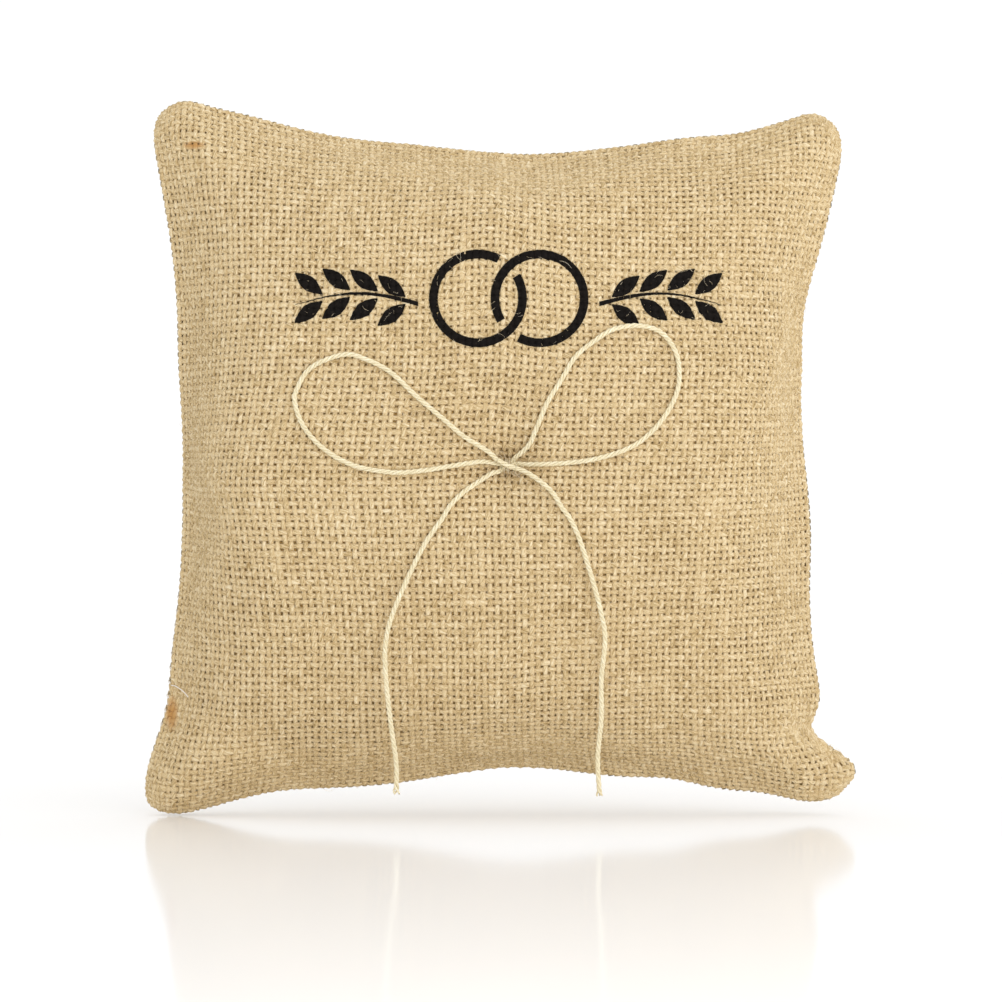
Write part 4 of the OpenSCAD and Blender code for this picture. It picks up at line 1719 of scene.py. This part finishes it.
@dataclass
class Bow:
    """The twine bow: two loops and two tails from one knot, held down by a tack of thread."""

    form: StuffedForm
    twine: Twine
    thread: FineThread
    crown: float = 1.48 * MM
    knot_tilt: float = 35.0
    wrap_radius: float = 1.45 * MM
    wrap_lead: float = 1.5 * MM
    wrap_half_turns: float = 0.62
    crest: float = 4.3 * MM
    tack_height: float = 4.9 * MM
    tack_reach: float = 2.45 * MM
    tack_sway: float = 0.25 * MM
    runs: tuple[LaidCord, ...] = (
        LaidCord(
            "bow_left_loop", "left_loop",
            ((-0.2, 100.5, 2.2), (-3, 103, 1.6), (-9.5, 107, 0.6), (-16, 112.5, 0.2), (-22.5, 118, 0),
             (-29.5, 124.5, 0), (-36, 128, 0), (-42.5, 129.5, 0), (-51.5, 126, 0), (-55.5, 120, 0),
             (-56, 116, 0), (-53.5, 109.5, 0), (-48, 103.5, 0), (-40, 99, 0), (-29.5, 97, 0),
             (-20.5, 97.5, 0), (-11.5, 99, 0.2), (-4.5, 100, 0.6), (-0.4, 99.5, 0.6)),
            0.139, "object", False,
        ),
        LaidCord(
            "bow_right_loop", "right_loop",
            ((4.6, 100.9, 0.8), (8.5, 104.5, 0.6), (11, 110, 0.2), (13.5, 116, 0), (17.5, 122.5, 0),
             (21.5, 129, 0), (27, 133.5, 0), (32, 136.5, 0.3), (38.5, 137.5, 0.4), (44.5, 136, 0.3),
             (48.5, 131.5, 0), (50, 126, 0), (49.5, 119.5, 0), (46, 112.5, 0), (40.5, 106.5, 0),
             (34.5, 103, 0), (26, 100.5, 0), (17.5, 99.5, 0), (9, 99.2, 0.3), (5.3, 99.4, 0.5)),
            0.131, "object", False,
        ),
        LaidCord(
            "bow_left_tail", "left_tail",
            ((0.6, 97.4, 0.6), (-2, 96.6, 0.8), (-6, 94, 0.8), (-9.5, 91.5, 0.6), (-13, 88, 0.4),
             (-15.5, 84, 0.2), (-20, 77.5, 0), (-25, 67.5, 0), (-29.5, 56.5, 0), (-31, 49, 0),
             (-31, 43.5, 0), (-30.5, 36.5, 0), (-29.5, 28, 0), (-28, 17, 0), (-28, 8.5, 0)),
            0.101, "bare", True, 3.2 * MM,
        ),
        LaidCord(
            "bow_right_tail", "right_tail",
            ((4.8, 98.2, 2.4), (7.5, 97.2, 2.2), (11, 95, 1.6), (15, 91.5, 1), (17.5, 87.5, 0.6),
             (20, 84, 0.3), (22.5, 78.5, 0.1), (26, 67.5, 0), (28.5, 58, 0), (29.5, 51, 0),
             (28.5, 40, 0), (28.5, 29.5, 0), (27.5, 18.5, 0), (28, 8, 0)),
            0.099, "bare", True, 1.8 * MM,
        ),
    )

    def build(self) -> list[bpy.types.Object]:
        """Make the knot, the four runs and the tack."""
        sheet = self.form.sheets[Face.FRONT]
        radius = self.twine.diameter / 2
        routes = {run.name: run.route(sheet, radius, self.crown, self.twine.spacing) for run in self.runs}
        knot = self._knot(routes)
        made = [knot]
        for run in self.runs:
            route = routes[run.name]
            sheaf = MeshSheaf()
            self.twine.lay(sheaf, route, run.open_end)
            piece = settle(sheaf.build(run.name, self.twine.finish), "jute_twine", run.node)
            LOG.info("%s is %.1f mm long", run.name, arc_lengths(route)[-1] / MM)
            made.append(piece)
        made.append(self._tack())
        return made

    def _middle(self, lift: float) -> Array:
        """Find a point over the knot's place.

        Args:
            lift: How far it stands off the yarns.

        Returns:
            The point.
        """
        sheet = self.form.sheets[Face.FRONT]
        point = sheet.over(np.array(KNOT_PLACE[:1]), np.array(KNOT_PLACE[1:]), self.crown)[0]
        return point + np.array([0.0, -lift, 0.0])

    def _knot(self, routes: dict[str, Array]) -> bpy.types.Object:
        """Make the knot: the strand that crosses over it, and the wrap round the crossing.

        Args:
            routes: Centre lines of the four runs, by piece name.

        Returns:
            The knot.
        """
        sheaf = MeshSheaf()
        start, end = routes["bow_left_loop"][0], routes["bow_right_tail"][0]
        crest = self._middle(self.crest)
        near_start, near_end = start * 0.45 + crest * 0.55, end * 0.45 + crest * 0.55
        over = np.stack([start, near_start, crest, near_end, end])
        self.twine.lay(sheaf, rounded(over, self.twine.spacing))
        tilt = math.radians(self.knot_tilt)
        axis = np.array([math.sin(tilt), 0.0, math.cos(tilt)])
        side = np.array([math.cos(tilt), 0.0, -math.sin(tilt)])
        out = np.array([0.0, -1.0, 0.0])
        centre = self._middle(self.wrap_radius + self.twine.diameter / 2)
        turn = np.linspace(-self.wrap_half_turns, self.wrap_half_turns, 60) * TURN
        wrap = (
            centre
            + self.wrap_radius * (np.sin(turn)[:, None] * side + np.cos(turn)[:, None] * out)
            + (turn / TURN * self.wrap_lead)[:, None] * axis
        )
        self.twine.lay(sheaf, respaced(wrap, self.twine.spacing * 0.7))
        for run_name, run_end, lift, aside in (
            ("bow_right_loop", 0, 0.9 * MM, 0.57 * MM),
            ("bow_left_tail", 0, 0.9 * MM, -0.57 * MM),
            ("bow_left_loop", -1, 1.2 * MM, 0.0),
            ("bow_right_loop", -1, 1.2 * MM, 0.0),
        ):
            outer = routes[run_name][run_end]
            inner = self._middle(lift) + np.array([aside, 0.0, 0.0])
            stub = np.stack([outer, (outer + inner) / 2, inner])
            self.twine.lay(sheaf, rounded(stub, self.twine.spacing))
        return settle(sheaf.build("bow_knot_wrap", self.twine.finish), "jute_twine", "bow_knot")

    def _tack(self) -> bpy.types.Object:
        """Make the thread that holds the knot down, and its short whiskers."""
        rng = np.random.default_rng(23)
        sheaf = MeshSheaf()
        foot = self._middle(-0.2 * MM)
        out = np.array([0.0, -1.0, 0.0])
        for side in (-0.55 * MM, 0.5 * MM):
            t = np.linspace(0, math.pi, 15)
            across = side + self.tack_sway * np.sin(2 * t)
            arch = [across, -self.tack_height * np.sin(t) ** 0.8, self.tack_reach * np.cos(t)]
            self.thread.lay(sheaf, foot + np.stack(arch, axis=1), np.array([1.0, 0.0, 0.0]), 0.7)
        whiskers = (
            ((1.4, -1.5), (3.4, -3.3)), ((1.2, -1.8), (4.4, -2.2)),
            ((-1.2, 1.7), (-2.9, 2.9)), ((-0.8, 2.0), (-1.2, 3.9)),
        )
        for (x0, z0), (x1, z1) in whiskers:
            start = foot + np.array([x0 * MM, -2.2 * MM, z0 * MM])
            end = foot + np.array([x1 * MM, -1.6 * MM, z1 * MM])
            bend = (start + end) / 2 + rng.normal(0, 0.35 * MM, 3) + out * 0.5 * MM
            self.thread.lay(sheaf, rounded(np.stack([start, bend, end]), 0.25 * MM), out, 0.6)
        piece = sheaf.build("knot_tack_thread", self.thread.finish)
        return settle(piece, "sewing_thread", "tack_stitches")


@dataclass
class StrayFibres:
    """Loose jute hairs that stand off the burlap."""

    weave: Weave
    face: Face
    finish: bpy.types.Material
    count: int
    seed: int
    thickness: float = 0.035 * MM
    lint_share: float = 0.01
    lint_thickness: float = 2.4
    edge: float = 0.985
    points: int = 6
    mean_part: float = 0.9 * MM
    face_reach: float = 94 * MM
    lowest: float = 1.25 * MM
    rise: float = 0.22 * MM

    def build(self) -> bpy.types.Object:
        """Scatter short curved hairs over the panel."""
        rng = np.random.default_rng(self.seed)
        sheaf = MeshSheaf()
        sheet = self.weave.sheet
        for _ in range(self.count):
            u, v = rng.uniform(-self.edge, self.edge, 2)
            heading = rng.uniform(0, TURN)
            bend = rng.normal(0, 1.6)
            step = rng.gamma(3.0, self.mean_part) / self.points / self.face_reach
            t = np.linspace(0, 1, self.points)
            angle = heading + bend * t
            du, dv = np.cumsum(np.cos(angle)) * step, np.cumsum(np.sin(angle)) * step
            lift = self.lowest + rng.gamma(1.6, self.rise) * np.sin(math.pi * t * rng.uniform(0.5, 1.0))
            line = sheet.at_height(np.clip(u + du, -1, 1), np.clip(v + dv, -1, 1), lift)
            lint = self.lint_thickness if rng.random() < self.lint_share else 1.0
            half = self.thickness * lint * rng.uniform(0.6, 1.5) * (1 - 0.6 * t)
            tone, seed_place = rng.uniform(0.4, 1.0), rng.uniform(0, 90)
            sheaf.strand(line, np.array([0.31, 0.9, 0.3]), half, half, 3, tone=tone, seed_place=seed_place)
        name = f"{self.face.name.lower()}_stray_fibres"
        return settle(sheaf.build(name, self.finish), "burlap")


@dataclass(frozen=True)
class Lamp:
    """A soft square lamp that points at the pillow."""

    name: str
    place: tuple[float, float, float]
    size: float
    power: float
    tint: tuple[float, float, float]

    def hang(self) -> None:
        """Put the lamp in the scene."""
        light = bpy.data.lights.new(self.name, "AREA")
        light.shape, light.size, light.energy, light.color = "SQUARE", self.size, self.power, self.tint
        holder = bpy.data.objects.new(self.name, light)
        holder.location = self.place
        aim = Vector(CENTRE) - Vector(self.place)
        holder.rotation_euler = aim.to_track_quat("-Z", "Y").to_euler()
        bpy.context.scene.collection.objects.link(holder)


@dataclass
class Studio:
    """Pale table, soft light and the camera."""

    view_distance: float = 1.2
    eye: tuple[float, float] = (0.85 * MM, 89.1 * MM)
    view_width: float = 284.3 * MM
    sensor: float = 36.0
    back_level: float = 1.04
    front_levels: tuple[float, float] = (0.72, 1.2)
    table_reach: float = 4.0
    lamps: tuple[Lamp, ...] = (
        Lamp("key_panel", (1.3, -1.2, 0.6), 1.0, 3.4, (0.9, 0.91, 1.0)),
        Lamp("low_panel", (0.2, -0.8, 0.02), 0.5, 3.2, (1.0, 0.98, 0.96)),
    )

    def place_camera(self) -> None:
        """Put the camera level in front of the pillow."""
        camera = bpy.data.cameras.new("studio_camera")
        camera.sensor_width = self.sensor
        camera.lens = self.sensor * self.view_distance / self.view_width
        camera.clip_start = 0.01
        holder = bpy.data.objects.new("studio_camera", camera)
        holder.location = (self.eye[0], -self.view_distance, self.eye[1])
        holder.rotation_euler = (math.pi / 2, 0.0, 0.0)
        bpy.context.scene.collection.objects.link(holder)
        bpy.context.scene.camera = holder

    def dress(self, floor_finish: bpy.types.Material) -> None:
        """Lay the table and set the lights.

        Args:
            floor_finish: The table's material.
        """
        scene = bpy.context.scene
        scene.view_settings.view_transform = "Standard"
        sheaf = MeshSheaf()
        line = np.linspace(-self.table_reach, self.table_reach, 9)
        x, y = np.meshgrid(line, line)
        sheaf.patch(np.stack([x, y, np.zeros_like(x)], axis=-1))
        table = sheaf.build("table_top", floor_finish)
        world = bpy.data.worlds.new("soft_room")
        world.use_nodes = True
        self._shade_room(world.node_tree)
        scene.world = world
        for lamp in self.lamps:
            lamp.hang()

    def _shade_room(self, tree: bpy.types.NodeTree) -> None:
        """Make the room white behind the pillow, and brighter on its right than on its left in front.

        Args:
            tree: The world's nodes.
        """
        place = tree.nodes.new("ShaderNodeTexCoord")
        parts = tree.nodes.new("ShaderNodeSeparateXYZ")
        tree.links.new(place.outputs["Generated"], parts.inputs["Vector"])
        levels = []
        bands = (("X", -1.0, 1.0, self.front_levels), ("Y", -0.35, 0.05, (0.0, 1.0)))
        for output, low, high, ends in bands:
            node = tree.nodes.new("ShaderNodeMapRange")
            limits = {"From Min": low, "From Max": high, "To Min": ends[0], "To Max": ends[1]}
            for name, value in limits.items():
                node.inputs[name].default_value = value
            tree.links.new(parts.outputs[output], node.inputs["Value"])
            levels.append(node.outputs["Result"])
        mix = tree.nodes.new("ShaderNodeMix")
        tree.links.new(levels[1], mix.inputs["Factor"])
        tree.links.new(levels[0], mix.inputs["A"])
        mix.inputs["B"].default_value = self.back_level
        sky = tree.nodes["Background"]
        sky.inputs["Color"].default_value = (1.0, 1.0, 1.0, 1.0)
        tree.links.new(mix.outputs["Result"], sky.inputs["Strength"])


BURLAP = StrandFinish(
    "burlap_yarn", paint(142, 112, 60), paint(211, 187, 142), paint(240, 226, 194),
    # Painted shade at the creases by the lower left ear, the upper left corner and the folded lower right
    # ear.
    crease_shades=(
        CreaseShade((-92.4 * MM, 29 * MM), (2.2 * MM, 5.5 * MM)),
        CreaseShade((-85.7 * MM, 189.3 * MM), (3.6 * MM, 1.3 * MM)),
        CreaseShade((94 * MM, 22 * MM), (3.6 * MM, 1.0 * MM)),
    ),
)
HAIR = StrandFinish("stray_jute", paint(206, 180, 136), paint(236, 216, 178), paint(250, 240, 216))
TWINE = StrandFinish(
    "cream_twine", paint(204, 186, 142), paint(238, 226, 190), paint(252, 244, 220),
    streaks_per_mm=4.5, tone_share=0.4, roughness=0.6, specular=0.35,
)
THREAD = StrandFinish(
    "white_thread", paint(206, 196, 186), paint(240, 234, 226), paint(252, 250, 246),
    streaks_per_mm=9.0, tone_share=0.2, roughness=0.7, specular=0.3,
)
TACK = StrandFinish(
    "buff_thread", paint(150, 128, 98), paint(206, 188, 156), paint(232, 220, 196),
    streaks_per_mm=9.0, tone_share=0.2, roughness=0.8, specular=0.2,
)
COTTON = ClothFinish("tan_cotton", paint(198, 158, 92), paint(226, 190, 126))
WADDING = FibreFinish("white_wadding", paint(222, 218, 210), paint(250, 249, 246))
INK = InkFinish("black_print", paint(15, 12, 10), paint(38, 31, 26))
TABLE = FloorFinish("pale_table", (0.98, 0.98, 0.98, 1.0), 0.1, 0.009)

# Number of loose hairs on each panel.
HAIRS = {Face.FRONT: 4200, Face.BACK: 2600}


def main() -> None:
    """Build the pillow piece by piece, and report each one."""
    logging.basicConfig(level=logging.INFO, format="%(name)s: %(message)s")
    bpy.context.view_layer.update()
    studio = Studio()
    studio.place_camera()
    form = StuffedForm()
    form.build()
    thread = FineThread(THREAD.build())
    Bow(form, Twine(TWINE.build()), FineThread(TACK.build())).build()
    burlap, hair, cotton = BURLAP.build(), HAIR.build(), COTTON.build()
    weaves = {face: Weave(form.sheets[face], 5 + face.value) for face in Face}
    for face in Face:
        BurlapPanel(weaves[face], face, burlap).build()
        Lining(form.sheets[face], face, cotton).build()
        StrayFibres(weaves[face], face, hair, HAIRS[face], 31 + face.value).build()
    EdgeYarns(form, burlap).build()
    Filling(form, WADDING.build()).build()
    SeamThread(form, thread).build()
    ClosingSeam(form, thread).build()
    PrintedMotif(weaves[Face.FRONT], INK.build()).build()
    studio.dress(TABLE.build())


if __name__ == "__main__":
    main()
